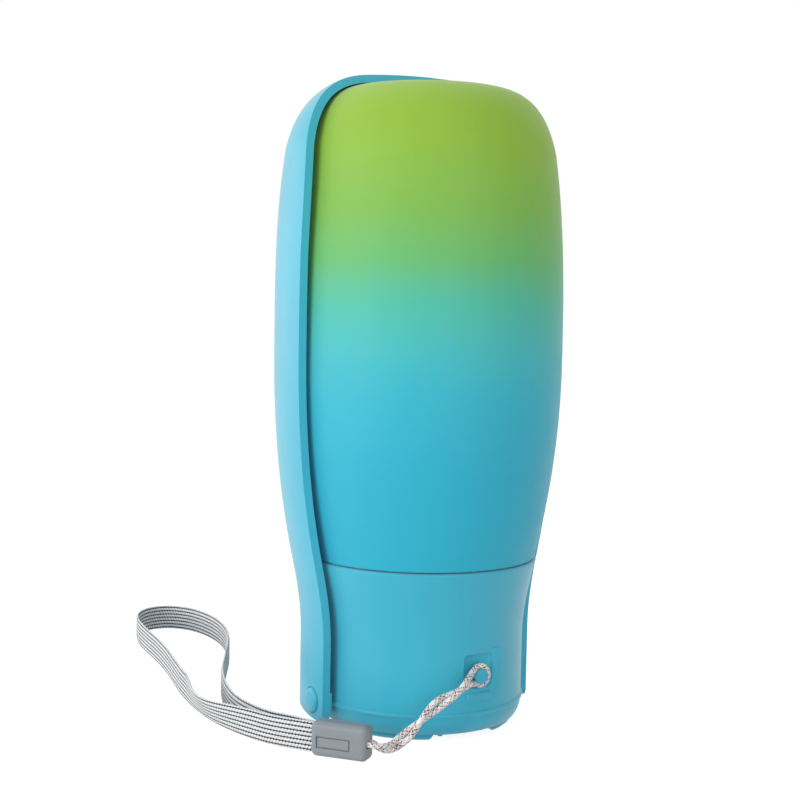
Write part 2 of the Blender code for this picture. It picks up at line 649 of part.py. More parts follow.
def make_valve_housing(carrier, look):
    """A lying chamber with the inlet tower on top and the outlet nozzle below its front end."""
    centre = (0, 0, VALVE_HEIGHT)
    tower_top = DECK_BOTTOM_HEIGHT - TOWER_GASKET_THICKNESS - 2 * FIT_GAP
    o_ring_seat = HOUSING_BACK - O_RING_THICKNESS - 2 * FIT_GAP
    seat_front = -SEAT_FRONT
    housing = rod("valve_housing", HOUSING_RADIUS, -HOUSING_FRONT, HOUSING_BACK, "Y", centre, look, carrier)
    tower = rod("inlet_tower", TOWER_RADIUS, VALVE_HEIGHT + HOUSING_RADIUS / 3, tower_top,
                "Z", (0, 0, 0), look, carrier)
    combine(housing, tower, "UNION")
    nozzle_place = (0, -NOZZLE_PLACE, 0)
    nozzle = rod("outlet_nozzle", NOZZLE_RADIUS, FOOT_HEIGHT, VALVE_HEIGHT - HOUSING_RADIUS / 3,
                 "Z", nozzle_place, look, carrier)
    combine(housing, nozzle, "UNION")
    bores = [
        (0, -HOUSING_FRONT - CUT_OVERRUN), (OUTLET_BORE_RADIUS, -HOUSING_FRONT - CUT_OVERRUN),
        (OUTLET_BORE_RADIUS, seat_front), (SEAT_RADIUS, seat_front), (SEAT_RADIUS, -INLET_BORE_FRONT),
        (INLET_BORE_RADIUS, -INLET_BORE_FRONT), (INLET_BORE_RADIUS, INLET_BORE_BACK),
        (STEM_BORE_RADIUS, INLET_BORE_BACK),
        (STEM_BORE_RADIUS, o_ring_seat), (O_RING_RADIUS + FIT_GAP, o_ring_seat),
        (O_RING_RADIUS + FIT_GAP, HOUSING_BACK + CUT_OVERRUN), (0, HOUSING_BACK + CUT_OVERRUN),
    ]
    inlet = rod("inlet_hole", INLET_RADIUS, VALVE_HEIGHT + HOUSING_RADIUS / 3, tower_top + CUT_OVERRUN,
                "Z", (0, 0, 0), look, carrier)
    outlet = rod("outlet_hole", INLET_RADIUS, FOOT_HEIGHT - CUT_OVERRUN, VALVE_HEIGHT - HOUSING_RADIUS / 3,
                 "Z", nozzle_place, look, carrier)
    passages = add_mesh("housing_passages", turned_mesh(bores, "Y", centre), look, carrier)
    combine(passages, inlet, "UNION")
    combine(passages, outlet, "UNION")
    combine(housing, passages, "DIFFERENCE")
    return housing


def make_valve_seals(carrier, rubber, look):
    """The rings round the chamber's inlet and stem, the spring's seat, and the plug in its front end."""
    centre = (0, 0, VALVE_HEIGHT)
    gasket_top = DECK_BOTTOM_HEIGHT - FIT_GAP
    gasket = ring_outline(INLET_RADIUS, TOWER_RADIUS, gasket_top - TOWER_GASKET_THICKNESS, gasket_top)
    add_mesh("inlet_gasket", turned_mesh(gasket), rubber, carrier)
    o_ring_back = HOUSING_BACK - FIT_GAP
    o_ring = o_ring_outline(STEM_BORE_RADIUS, O_RING_RADIUS, o_ring_back - O_RING_THICKNESS, o_ring_back)
    add_mesh("stem_o_ring", turned_mesh(o_ring, "Y", centre), rubber, carrier)
    washer_start = HOUSING_BACK + FIT_GAP
    washer = ring_outline(STEM_BORE_RADIUS, WASHER_RADIUS, washer_start, washer_start + WASHER_THICKNESS)
    add_mesh("spring_seat_washer", turned_mesh(washer, "Y", centre), look, carrier)
    flange_back = -HOUSING_FRONT - FIT_GAP
    flange_front = flange_back - PLUG_FLANGE_THICKNESS
    plug_radius = OUTLET_BORE_RADIUS - FIT_GAP
    plug = [(0, flange_front + PLUG_DISH_DEPTH), (PLUG_DISH_RADIUS, flange_front + PLUG_DISH_DEPTH),
            (PLUG_DISH_RADIUS, flange_front), (HOUSING_RADIUS, flange_front), (HOUSING_RADIUS, flange_back),
            (plug_radius, flange_back), (plug_radius, flange_back + PLUG_LENGTH),
            (0, flange_back + PLUG_LENGTH)]
    add_mesh("valve_plug", turned_mesh(plug, "Y", centre), look, carrier)


def o_ring_outline(inner, outer, start, end, corners=6):
    """A round section that fits the given ring space."""
    middle = (inner + outer) / 2
    across = (outer - inner) / 2
    half = (end - start) / 2
    turns = [2 * math.pi * i / corners for i in range(corners)]
    return [(middle + across * math.cos(t), start + half + half * math.sin(t)) for t in turns]


def make_neck_gasket(carrier, rubber):
    """The flat ring on the deck that the bottle's neck is screwed down on."""
    bottom = DECK_TOP + FIT_GAP
    outer = COLLAR_INNER_RADIUS - FIT_GAP
    ring = ring_outline(NECK_GASKET_RADIUS, outer, bottom, bottom + NECK_GASKET_THICKNESS)
    add_mesh("neck_gasket", turned_mesh(ring, steps=ROUND_STEPS), rubber, carrier)


def make_vent_valve(carrier, rubber):
    """An umbrella valve in the deck: a thin disc above the hole and a bulb below it."""
    disc_bottom = DECK_TOP + FIT_GAP
    bulb_top = DECK_BOTTOM_HEIGHT - FIT_GAP
    neck = VENT_HOLE_RADIUS - FIT_GAP
    outline = [(0, disc_bottom + VENT_DISC_THICKNESS),
               (VENT_DISC_RADIUS * THIRD_SHARE, disc_bottom + VENT_DISC_THICKNESS),
               (VENT_DISC_RADIUS, disc_bottom + VENT_DISC_THICKNESS / 3), (VENT_DISC_RADIUS, disc_bottom),
               (neck, disc_bottom), (neck, bulb_top), (VENT_BULB_RADIUS, bulb_top),
               (neck / 2, bulb_top - VENT_BULB_LENGTH), (0, bulb_top - VENT_BULB_LENGTH)]
    add_mesh("vent_valve", turned_mesh(outline, centre=(VENT_PLACE, 0, 0)), rubber, carrier)


def make_button(carrier, look, inner_look, rubber):
    """The button, the valve's stem and the seal that it carries. They slide as one."""
    centre = Vector((0, 0, VALVE_HEIGHT))
    origin = carrier.location
    groove = BUTTON_RADIUS * BUTTON_GROOVE_SHARE
    ridge = BUTTON_GROOVE_DEPTH
    floor = BUTTON_FLOOR
    boss_end = floor - BUTTON_BOSS_LENGTH
    face_edge = BUTTON_REACH - BUTTON_CROWN
    outline = [
        (0, BUTTON_REACH), (groove - ridge, BUTTON_REACH - BUTTON_CROWN / 4),
        (groove, BUTTON_REACH - BUTTON_CROWN / 4 - ridge), (groove + ridge, BUTTON_REACH - BUTTON_CROWN / 3),
        (BUTTON_RADIUS - RIM_FILLET, face_edge), (BUTTON_RADIUS, face_edge - RIM_FILLET),
        (BUTTON_RADIUS, BUTTON_COLLAR_REACH - FIT_GAP), (BUTTON_LIP_RADIUS, BUTTON_COLLAR_REACH - FIT_GAP),
        (BUTTON_LIP_RADIUS, BUTTON_INNER_END), (BUTTON_BORE_RADIUS, BUTTON_INNER_END),
        (BUTTON_BORE_RADIUS, floor),
        (BUTTON_BOSS_RADIUS, floor), (BUTTON_BOSS_RADIUS, boss_end), (STEM_BORE_RADIUS, boss_end),
        (STEM_BORE_RADIUS, floor), (0, floor),
    ]
    add_mesh("push_button", turned_mesh(outline, "Y", centre, SMALL_ROUND_STEPS), look, carrier, origin)
    seal_back = -SEAT_FRONT - FIT_GAP
    seal_front = seal_back - SEAL_THICKNESS
    flange_back = seal_front - FIT_GAP
    flange_front = flange_back - STEM_FLANGE_THICKNESS
    stem = [(0, flange_front - STEM_TIP_LENGTH), (STEM_RADIUS, flange_front - STEM_TIP_LENGTH),
            (STEM_RADIUS, flange_front),
            (STEM_FLANGE_RADIUS, flange_front), (STEM_FLANGE_RADIUS, flange_back), (STEM_RADIUS, flange_back),
            (STEM_RADIUS, STEM_END), (0, STEM_END)]
    add_mesh("valve_stem", turned_mesh(stem, "Y", centre), inner_look, carrier, origin)
    seal = ring_outline(STEM_BORE_RADIUS, SEAL_RADIUS, seal_front, seal_back)
    add_mesh("valve_seal", turned_mesh(seal, "Y", centre), rubber, carrier, origin)


def tube(name, points, radius, sides_resolution, look, carrier):
    """A closed round tube along the points, as a poly curve with filled ends."""
    curve = bpy.data.curves.new(name, "CURVE")
    curve.dimensions = "3D"
    curve.bevel_depth = radius
    curve.bevel_resolution = sides_resolution
    curve.use_fill_caps = True
    curve.materials.append(look)
    spline = curve.splines.new("POLY")
    spline.points.add(len(points) - 1)
    for knot, place in zip(spline.points, points):
        knot.co = (*place, 1.0)
    spline.use_smooth = True
    made = bpy.data.objects.new(name, curve)
    made.parent = carrier
    bpy.context.scene.collection.objects.link(made)
    return made


def make_spring(carrier, look):
    """The button's spring, one unbroken wire with closed end turns."""
    start = SPRING_SEAT + FIT_GAP + SPRING_WIRE / 2
    end = BUTTON_FLOOR - FIT_GAP - SPRING_WIRE / 2
    count = SPRING_TURNS * SPRING_POINTS
    points = []
    for i in range(count + 1):
        share = i / count
        angle = 2 * math.pi * SPRING_TURNS * share
        points.append((SPRING_RADIUS * math.cos(angle), start + (end - start) * share,
                       VALVE_HEIGHT + SPRING_RADIUS * math.sin(angle)))
    tube("button_spring", points, SPRING_WIRE / 2, 1, look, carrier)


def trough_side():
    """The trough's inner side in (radius, height), from its lower end up to the axis."""
    end = (TROUGH_INNER_RADIUS, TROUGH_END_HEIGHT - CUT_OVERRUN / 2)
    flare = (TROUGH_INNER_RADIUS, FLARE_START_HEIGHT)
    seam = (BOTTLE_SEAM_RADIUS + TROUGH_SEAM_GAP, SEAM_HEIGHT)
    belly = (TROUGH_BELLY_RADIUS, TROUGH_BELLY_HEIGHT)
    shoulder = (SHOULDER_RADIUS + TROUGH_SHOULDER_GAP, SHOULDER_HEIGHT)
    top = BOTTLE_TOP + TROUGH_DOME_GAP
    side = [end]
    side += leaning(flare, 0.0, seam, TROUGH_SEAM_LEAN, 3)
    side += leaning(seam, TROUGH_SEAM_LEAN, belly, 0.0, 4)
    side += leaning(belly, 0.0, shoulder, SHOULDER_LEAN, 4)
    side += crown(shoulder, TROUGH_DOME_RADIUS, top - DOME_CROWN, 6)
    side += [(TROUGH_DOME_RADIUS, top - DOME_CROWN), (TROUGH_DOME_RADIUS / 2, top - DOME_CROWN / 4)]
    side += [(0.0, top)]
    return side


def trough_front(reach, top):
    """The region in (Y, height) that is cut off: in front of the leaf's edge and below its lower end."""
    bend = (-TROUGH_FRONT, top - TROUGH_FRONT_DROP)
    first_pull = (-TROUGH_TOP_PULL_SETBACK, top - TROUGH_FRONT_DROP * TROUGH_TOP_PULL_SHARE)
    last_pull = (-TROUGH_FRONT, bend[1] + TROUGH_FRONT_DROP * (1 - TROUGH_FRONT_PULL_SHARE) * 1.4)
    outline = [(-reach, TROUGH_END_HEIGHT - CUT_OVERRUN), (-reach, top + CUT_OVERRUN)]
    outline += [(TROUGH_TOP_SETBACK * 1.3, top + CUT_OVERRUN)]
    outline += flow((TROUGH_TOP_SETBACK, top), first_pull, last_pull, bend, 8)
    corner_y = TROUGH_CORNER_RADIUS - TROUGH_FRONT
    corner_z = TROUGH_END_HEIGHT + TROUGH_CORNER_RADIUS
    steps = 4
    for i in range(steps + 1):
        angle = math.pi + math.pi / 2 * i / steps
        outline.append((corner_y + TROUGH_CORNER_RADIUS * math.cos(angle),
                        corner_z + TROUGH_CORNER_RADIUS * math.sin(angle)))
    rise = TROUGH_BACK_RISE * (reach - corner_y) / (TROUGH_OUTER_RADIUS - corner_y)
    outline += [(reach, TROUGH_END_HEIGHT + rise), (reach, TROUGH_END_HEIGHT - CUT_OVERRUN)]
    return outline


def make_trough(carrier, assembly, look):
    """The bowl that wraps the bottle, with a pad inside each arm that the hinge pin goes through."""
    inner = trough_side()
    outer = beside(inner, -TROUGH_WALL)
    outer[-1] = (0.0, inner[-1][1] + TROUGH_WALL)
    shell = turned_mesh(inner[::-1] + outer, steps=ROUND_STEPS)
    trough = add_mesh("trough", shell, look, carrier, carrier.location)
    reach = max(r for r, z in outer) + CUT_OVERRUN
    outline = trough_front(reach, BOTTLE_TOP + TROUGH_DOME_GAP + TROUGH_WALL)
    combine(trough, prism("trough_front_cut", outline, -reach, reach, "X", look, assembly), "DIFFERENCE")
    round_edges(trough, TROUGH_EDGE_ROUND)
    for side, word in ((-1, "left"), (1, "right")):
        near, far = sorted((side * PAD_FACE, side * (TROUGH_INNER_RADIUS + TROUGH_WALL / 2)))
        pad = box(f"hinge_pad_{word}", (near, PAD_FRONT_SETBACK - TROUGH_FRONT, HINGE_HEIGHT - PAD_BELOW),
                  (far, PAD_BACK, HINGE_HEIGHT + PAD_ABOVE), look, assembly)
        round_edges(pad, PAD_ROUND)
        combine(trough, pad, "UNION")
    floor = TROUGH_OUTER_RADIUS - PIN_HEAD_SINK - FIT_GAP
    seat = PIN_HEAD_RADIUS + FIT_GAP
    bore = PIN_RADIUS + FIT_GAP
    bores = [(0, -reach), (seat, -reach), (seat, -floor), (bore, -floor)]
    bores += [(r, -along) for r, along in bores[::-1]]
    drill = add_mesh("trough_pin_bores", turned_mesh(bores, "X", (0, 0, HINGE_HEIGHT)), look, assembly)
    combine(trough, drill, "DIFFERENCE")
    return trough


def make_hinge_pin(word, side, carrier, look):
    """A pin with a domed head outside the trough's arm and a snap tip inside the cap."""
    head_base = TROUGH_OUTER_RADIUS - PIN_HEAD_SINK
    head_top = head_base + PIN_HEAD_THICKNESS
    inner_wall = CAP_INNER_RADIUS - FIT_GAP
    tip_end = inner_wall - PIN_TIP_LENGTH
    outline = [(0, head_top + PIN_HEAD_DOME),
               (PIN_HEAD_RADIUS / 2, head_top + PIN_HEAD_DOME * PIN_DOME_SHARE),
               (PIN_HEAD_RADIUS - RIM_FILLET / 2, head_top), (PIN_HEAD_RADIUS, head_top - RIM_FILLET / 2),
               (PIN_HEAD_RADIUS, head_base), (PIN_RADIUS, head_base), (PIN_RADIUS, inner_wall - FIT_GAP),
               (PIN_TIP_RADIUS, inner_wall - FIT_GAP - PIN_TIP_LENGTH / 3), (PIN_RADIUS - FIT_GAP, tip_end),
               (0, tip_end)]
    outline = [(r, side * along) for r, along in outline]
    add_mesh(f"hinge_pin_{word}", turned_mesh(outline, "X", (0, 0, HINGE_HEIGHT)), look, carrier)


def smooth_route(route, count):
    """Even points along a smooth curve through the route's own points."""
    knots = [Vector(p) for p in route]
    dense = []
    for i in range(len(knots) - 1):
        before = knots[i - 1] if i else knots[0] * 2 - knots[1]
        after = knots[i + 2] if i + 2 < len(knots) else knots[-1] * 2 - knots[-2]
        pull_out = knots[i] + (knots[i + 1] - before) / 6
        pull_in = knots[i + 1] - (after - knots[i]) / 6
        dense += interpolate_bezier(knots[i], pull_out, pull_in, knots[i + 1], 24)[:-1]
    dense.append(knots[-1])
    along = [0.0]
    for a, b in zip(dense, dense[1:]):
        along.append(along[-1] + (b - a).length)
    points, at = [], 0
    for i in range(count):
        target = along[-1] * i / (count - 1)
        while at < len(along) - 2 and along[at + 1] < target:
            at += 1
        share = (target - along[at]) / (along[at + 1] - along[at])
        points.append(dense[at].lerp(dense[at + 1], min(max(share, 0.0), 1.0)))
    return points


def band_route():
    """The band's lower edge on the floor: out of the clasp, round the loop and back."""
    along = Vector((math.cos(CLASP_TURN), math.sin(CLASP_TURN)))
    across = Vector((-along.y, along.x))
    clasp = Vector((CLASP_CENTRE_X, CLASP_CENTRE_Y))
    layer = (BAND_THICKNESS + BAND_LAYER_GAP) / 2
    inside = clasp - along * (CLASP_LENGTH / 2 - CLASP_BAND_POCKET_LENGTH + BAND_LAYER_GAP)
    mouth = clasp - along * (CLASP_LENGTH / 2 + BAND_THICKNESS)
    front = [inside - across * layer, mouth - across * layer]
    back = [mouth + across * layer, inside + across * layer]
    flat = front + [clasp + Vector(p) for p in BAND_ROUTE] + back
    return [(p.x, p.y, 0) for p in flat]


def eased(share):
    """A share from 0 to 1 that starts and ends gently."""
    share = min(max(share, 0.0), 1.0)
    return share * share * (3 - 2 * share)


def band_rings():
    """For each place along the band: its middle, and the directions across it and up its width."""
    points = smooth_route(band_route(), BAND_POINTS)
    length = sum((b - a).length for a, b in zip(points, points[1:]))
    in_clasp = (CLASP_HEIGHT - BAND_WIDTH) / 2
    rings, gone = [], 0.0
    for i, place in enumerate(points):
        after, before = points[min(i + 1, len(points) - 1)], points[max(i - 1, 0)]
        gone += (place - before).length
        along = (after - before).normalized()
        across = Vector((-along.y, along.x, 0))
        lean = BAND_LEAN * eased(1 - abs(gone - BAND_LEAN_PLACE) / BAND_LEAN_SPREAD)
        free = eased(min(gone, length - gone) / BAND_CLASP_REACH - BAND_CLASP_SHARE)
        up = Vector((0, 0, math.cos(lean))) + across * math.sin(lean)
        side = across * math.cos(lean) - Vector((0, 0, math.sin(lean)))
        lift = in_clasp + (BAND_LIFT - in_clasp) * free + BAND_THICKNESS / 2 * math.sin(lean)
        rings.append((place + Vector((0, 0, lift)) + up * BAND_WIDTH / 2, side, up))
    return rings


def make_band(carrier, look):
    """The flat band, as one closed strip along its route."""
    half, thick = BAND_WIDTH / 2, BAND_THICKNESS / 2
    bm = bmesh.new()
    rings = []
    for middle, side, up in band_rings():
        corners = ((-1, -1), (1, -1), (1, 1), (-1, 1))
        rings.append([bm.verts.new(middle + side * thick * a + up * half * b) for a, b in corners])
    for a, b in zip(rings, rings[1:]):
        for i in range(4):
            j = (i + 1) % 4
            bm.faces.new((a[i], a[j], b[j], b[i]))
    bm.faces.new(rings[0][::-1])
    bm.faces.new(rings[-1])
    return add_mesh("wrist_band", bm, look, carrier)


def cord_middle():
    """The middle of the cord's two strands, from inside the clasp's pocket to the stud."""
    along = Vector((math.cos(CLASP_TURN), math.sin(CLASP_TURN), 0))
    clasp = Vector((CLASP_CENTRE_X, CLASP_CENTRE_Y, CLASP_HEIGHT / 2))
    mouth = clasp + along * CLASP_LENGTH / 2
    start = mouth - along * (CLASP_CORD_POCKET_LENGTH - CORD_END_GAP)
    shift = CLASP_CENTRE_X + CORD_ROUTE_SPAN
    middle = [start, start.lerp(mouth, 0.5), mouth]
    for x, y, z in CORD_PAIR_ROUTE:
        middle.append(Vector((x + shift * min(x / CORD_FREE_PLACE, 1), y - CAP_RADIUS, z)))
    return middle


def cord_points():
    """One cord: out along one side of the pair, round the stud, and back along the other."""
    pair = smooth_route(cord_middle(), CORD_POINTS // 2)
    half = CORD_STRAND_SPACING / 2
    strands = ([], [])
    for i, place in enumerate(pair):
        along = (pair[min(i + 1, len(pair) - 1)] - pair[max(i - 1, 0)]).normalized()
        level = along.cross(Vector((0, 0, 1))).normalized()
        up = level.cross(along).normalized()
        free = max(i / (len(pair) - 1) - CORD_STRAIGHT_SHARE, 0) / (1 - CORD_STRAIGHT_SHARE)
        angle = math.pi / 2 + math.pi * CORD_HALF_TURNS * (free - 1)
        offset = level * math.cos(angle) * half + up * math.sin(angle) * half
        strands[0].append(place - offset)
        strands[1].append(place + offset)
    stud = Vector((LUG_SIDE, -CAP_RADIUS - CORD_DIAMETER / 4, LUG_HEIGHT))
    loop = []
    for i in range(CORD_LOOP_POINTS + 1):
        angle = CORD_LOOP_TURN * (i / CORD_LOOP_POINTS - 1 / 2)
        offset = Vector((CORD_LOOP_RADIUS * math.cos(angle), 0, CORD_LOOP_RADIUS * math.sin(angle)))
        loop.append(stud + offset)
    return strands[0] + loop + strands[1][::-1]


def make_cord(carrier, look):
    """The round cord, as one closed tube."""
    points = smooth_route(cord_points(), CORD_POINTS)
    tube("lanyard_cord", points, CORD_DIAMETER / 2, 2, look, carrier)


def make_clasp(carrier, look):
    """Two half shells, split along the clasp's length, that hold the band and the cord."""
    middle = Matrix.Translation((CLASP_CENTRE_X, CLASP_CENTRE_Y, CLASP_HEIGHT / 2))
    turn = middle @ Matrix.Rotation(CLASP_TURN, 4, "Z")
    half_length, half_height, half_depth = CLASP_LENGTH / 2, CLASP_HEIGHT / 2, CLASP_DEPTH / 2
    for side, word in ((-1, "front"), (1, "back")):
        near, far = sorted((side * FIT_GAP / 2, side * half_depth))
        half = box(f"clasp_{word}", (-half_length, near, -half_height),
                   (half_length, far, half_height), look, carrier)
        round_edges(half, CLASP_ROUND, segments=2)
        band_depth = BAND_THICKNESS + BAND_LAYER_GAP / 2 + FIT_GAP
        inner, outer = sorted((0, side * band_depth))
        half_band = BAND_WIDTH / 2 + FIT_GAP / 2
        pocket = box(f"band_pocket_{word}", (-half_length - CUT_OVERRUN, inner, -half_band),
                     (-half_length + CLASP_BAND_POCKET_LENGTH, outer, half_band), look, carrier)
        inner, outer = sorted((0, side * CLASP_CORD_POCKET_HALF_DEPTH))
        slot = box(f"cord_pocket_{word}",
                   (half_length - CLASP_CORD_POCKET_LENGTH, inner, -CLASP_CORD_POCKET_HALF_HEIGHT),
                   (half_length + CUT_OVERRUN, outer, CLASP_CORD_POCKET_HALF_HEIGHT), look, carrier)
        for tool in (pocket, slot):
            combine(half, tool, "DIFFERENCE")
        tools = [pocket, slot]
        if side < 0:
            panel = box("clasp_panel",
                        (-CLASP_PANEL_LENGTH / 2, -half_depth - CUT_OVERRUN, -CLASP_PANEL_HEIGHT / 2),
                        (CLASP_PANEL_LENGTH / 2, -half_depth + CLASP_PANEL_DEPTH, CLASP_PANEL_HEIGHT / 2),
                        look, carrier)
            combine(half, panel, "DIFFERENCE")
            tools.append(panel)
        for obj in [half] + tools:
            obj.data.transform(turn)


def main():
    """Builds every piece on the body that carries it."""
    clear_scene()
    blue = finish("cap_plastic", BLUE, 0.45)
    bottle_look = finish("bottle_coating", GREEN_TO_BLUE, 0.55)
    white = finish("inner_plastic", INNER_WHITE, 0.5)
    rubber = finish("silicone", CLEAR_SILICONE, 0.6)
    steel = finish("spring_steel", SPRING_STEEL, 0.35, 1.0)
    grey = finish("clasp_plastic", CLASP_GREY, 0.5)
    braid = finish("braid", BRAID_GREY, 0.9)

    assembly = empty("bottle_axis", (0, AXIS_Y, 0))
    hinge = empty("trough_hinge", (0, 0, HINGE_HEIGHT), assembly)
    slide = empty("button_slide", (0, 0, VALVE_HEIGHT), assembly)

    make_bottle(assembly, bottle_look)
    make_cap_shell(assembly, blue)
    make_base_plate(assembly, blue)
    make_valve_housing(assembly, white)
    make_valve_seals(assembly, rubber, white)
    make_neck_gasket(assembly, rubber)
    make_vent_valve(assembly, rubber)
    make_button(slide, blue, white, rubber)
    make_spring(assembly, steel)
    make_trough(hinge, assembly, blue)
    make_hinge_pin("left", -1, assembly, blue)
    make_hinge_pin("right", 1, assembly, blue)
    make_band(assembly, braid)
    make_cord(assembly, braid)
    make_clasp(assembly, grey)


main()
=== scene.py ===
"""The looks of a pet water bottle with a fold-out trough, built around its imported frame.

Metres, +Z up. Outlines are written about the bottle's own axis and then moved to it.
"""

import json
import math

import bmesh
import bpy
from mathutils import Matrix, Vector
from mathutils.geometry import interpolate_bezier


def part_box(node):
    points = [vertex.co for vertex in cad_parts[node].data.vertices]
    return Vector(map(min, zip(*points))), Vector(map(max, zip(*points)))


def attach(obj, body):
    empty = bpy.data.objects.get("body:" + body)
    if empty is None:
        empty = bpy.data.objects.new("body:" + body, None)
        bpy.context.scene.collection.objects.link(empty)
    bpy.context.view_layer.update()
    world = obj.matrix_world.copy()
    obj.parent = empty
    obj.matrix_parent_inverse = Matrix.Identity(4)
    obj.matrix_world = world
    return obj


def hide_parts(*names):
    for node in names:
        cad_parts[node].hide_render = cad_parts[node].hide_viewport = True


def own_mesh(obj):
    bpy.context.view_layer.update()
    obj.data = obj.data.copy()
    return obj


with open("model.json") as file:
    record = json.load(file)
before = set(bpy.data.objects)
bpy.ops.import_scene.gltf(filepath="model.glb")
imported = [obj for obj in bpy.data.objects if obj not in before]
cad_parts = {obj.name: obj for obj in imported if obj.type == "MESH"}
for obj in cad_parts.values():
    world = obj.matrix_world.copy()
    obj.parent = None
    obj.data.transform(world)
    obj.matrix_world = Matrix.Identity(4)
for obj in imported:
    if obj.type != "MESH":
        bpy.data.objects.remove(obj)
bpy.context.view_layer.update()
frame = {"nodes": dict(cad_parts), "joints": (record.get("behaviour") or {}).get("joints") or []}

# Places and sizes that the frame gives
JOINTS = {joint["name"]: joint for joint in frame["joints"]}
HINGE = Vector(JOINTS["trough_hinge"]["pos_m"])
AXIS = Vector((0, HINGE.y, 0))
HINGE_HEIGHT = HINGE.z
BOTTLE_LOW, BOTTLE_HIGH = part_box("bottle_body")
BELLY_RADIUS = BOTTLE_HIGH.x
BOTTLE_TOP = BOTTLE_HIGH.z
NECK_END = BOTTLE_LOW.z
CAP_LOW, CAP_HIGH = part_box("cap_shell")
CAP_RIM_RADIUS = CAP_HIGH.x
FOOT_HEIGHT = CAP_LOW.z
SEAM_HEIGHT = CAP_HIGH.z
TROUGH_LOW, TROUGH_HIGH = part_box("trough")
TROUGH_BELLY_OUTER = TROUGH_HIGH.x
TROUGH_FRONT = AXIS.y - TROUGH_LOW.y
PIN_LOW, PIN_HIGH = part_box("hinge_pin_right")
PIN_HEAD_RADIUS = (PIN_HIGH.z - PIN_LOW.z) / 2

FIT_GAP = 0.0003

# Cap: its outline and the details on it
CAP_WALL = 0.0022
CAP_FLARE = 0.00395
CAP_RADIUS = CAP_RIM_RADIUS - CAP_FLARE
FLARE_START_HEIGHT = 0.0280
CAP_RIM_LEAN = 0.25
RIM_FILLET = 0.0007
BASE_EDGE_SETBACK = 0.0020
BASE_EDGE_RADIUS = CAP_RADIUS - BASE_EDGE_SETBACK
BASE_CORNER_HEIGHT = 0.0054
BEAD_HEIGHT = 0.0084
BEAD_PROUD = 0.0006
BEAD_HALF_WIDTH = 0.0007
BEAD_STEPS = 6
DECK_BOTTOM_HEIGHT = 0.0306
DECK_THICKNESS = 0.0024
DECK_TOP = DECK_BOTTOM_HEIGHT + DECK_THICKNESS
COLLAR_CAP_GAP = 0.00115
COLLAR_WALL = 0.0022
COLLAR_DROP = 0.0035
COLLAR_OUTER_RADIUS = CAP_RADIUS - CAP_WALL - COLLAR_CAP_GAP
COLLAR_INNER_RADIUS = COLLAR_OUTER_RADIUS - COLLAR_WALL
COLLAR_TOP = SEAM_HEIGHT - COLLAR_DROP
INLET_RADIUS = 0.0036
LEDGE_WIDTH = 0.0015
LEDGE_INNER_RADIUS = BASE_EDGE_RADIUS - RIM_FILLET - LEDGE_WIDTH
LEDGE_BOTTOM = 0.0047
LEDGE_THICKNESS = 0.0017
BUTTON_BORE_RADIUS = 0.0073
BUTTON_COLLAR_RADIUS = 0.0092
BUTTON_COLLAR_LENGTH = 0.00815
BUTTON_COLLAR_SEAT_SHARE = 0.75

# Lug for the lanyard, on the cap's front
LUG_SIDE = 0.0024
LUG_HEIGHT = 0.0206
LUG_POCKET_HALF_WIDTH = 0.0056
LUG_POCKET_BOTTOM = 0.0164
LUG_POCKET_TOP = 0.0274
LUG_POCKET_DEPTH = 0.0016
LUG_POCKET_ROUND = 0.0016
LUG_BACKING = 0.0025
LUG_RIB_HALF_WIDTH = 0.0046
LUG_RIB_BOTTOM = 0.0126
LUG_RIB_TOP = 0.0150
LUG_RIB_PROUD = 0.0008
LUG_RIB_ROUND_SHARE = 0.7
STUD_RADIUS = 0.0017
STUD_HEAD_RADIUS = 0.0023
STUD_PROUD = 0.0022
STUD_HEAD_THICKNESS = 0.0008

# Bottle
BOTTLE_WALL = 0.0016
BOTTLE_SEAM_SETBACK = 0.0003
BOTTLE_SEAM_RADIUS = CAP_RIM_RADIUS - BOTTLE_SEAM_SETBACK
BOTTLE_SEAT = SEAM_HEIGHT + FIT_GAP
BELLY_HEIGHT = 0.1180
SHOULDER_RADIUS = 0.0413
SHOULDER_DROP = 0.0220
SHOULDER_HEIGHT = BOTTLE_TOP - SHOULDER_DROP
DOME_RADIUS = 0.0220
DOME_CROWN = 0.0010
THREAD_GAP = 0.0006
NECK_RADIUS = COLLAR_INNER_RADIUS - THREAD_GAP
NECK_WALL = 0.0022

# Trough
TROUGH_WALL = 0.0026
TROUGH_CAP_GAP = 0.00265
TROUGH_SEAM_GAP = 0.0024
TROUGH_SHOULDER_GAP = 0.0026
TROUGH_DOME_GAP = 0.0008
TROUGH_BELLY_RAISE = 0.0040
TROUGH_CAP_INNER = CAP_RADIUS + TROUGH_CAP_GAP
TROUGH_SEAM_INNER = BOTTLE_SEAM_RADIUS + TROUGH_SEAM_GAP
TROUGH_BELLY_INNER = TROUGH_BELLY_OUTER - TROUGH_WALL
TROUGH_BELLY_HEIGHT = BELLY_HEIGHT + TROUGH_BELLY_RAISE
TROUGH_SHOULDER_INNER = SHOULDER_RADIUS + TROUGH_SHOULDER_GAP
TROUGH_TOP_INNER = BOTTLE_TOP + TROUGH_DOME_GAP
TROUGH_TOP = TROUGH_TOP_INNER + TROUGH_WALL
TROUGH_DOME_RADIUS = 0.0200
TROUGH_END_HEIGHT = 0.0030
TROUGH_BACK_RISE = 0.0034
TROUGH_CORNER_RADIUS = 0.0022
TROUGH_CORNER_STEPS = 8
TROUGH_TOP_SETBACK = 0.0045
TROUGH_TIP_OVERRUN_SHARE = 1.3
TROUGH_FRONT_DROP = 0.0507
TROUGH_TIP_PULL = -0.0030
TROUGH_TIP_PULL_SHARE = 0.28
TROUGH_BEND_PULL_SHARE = 0.462
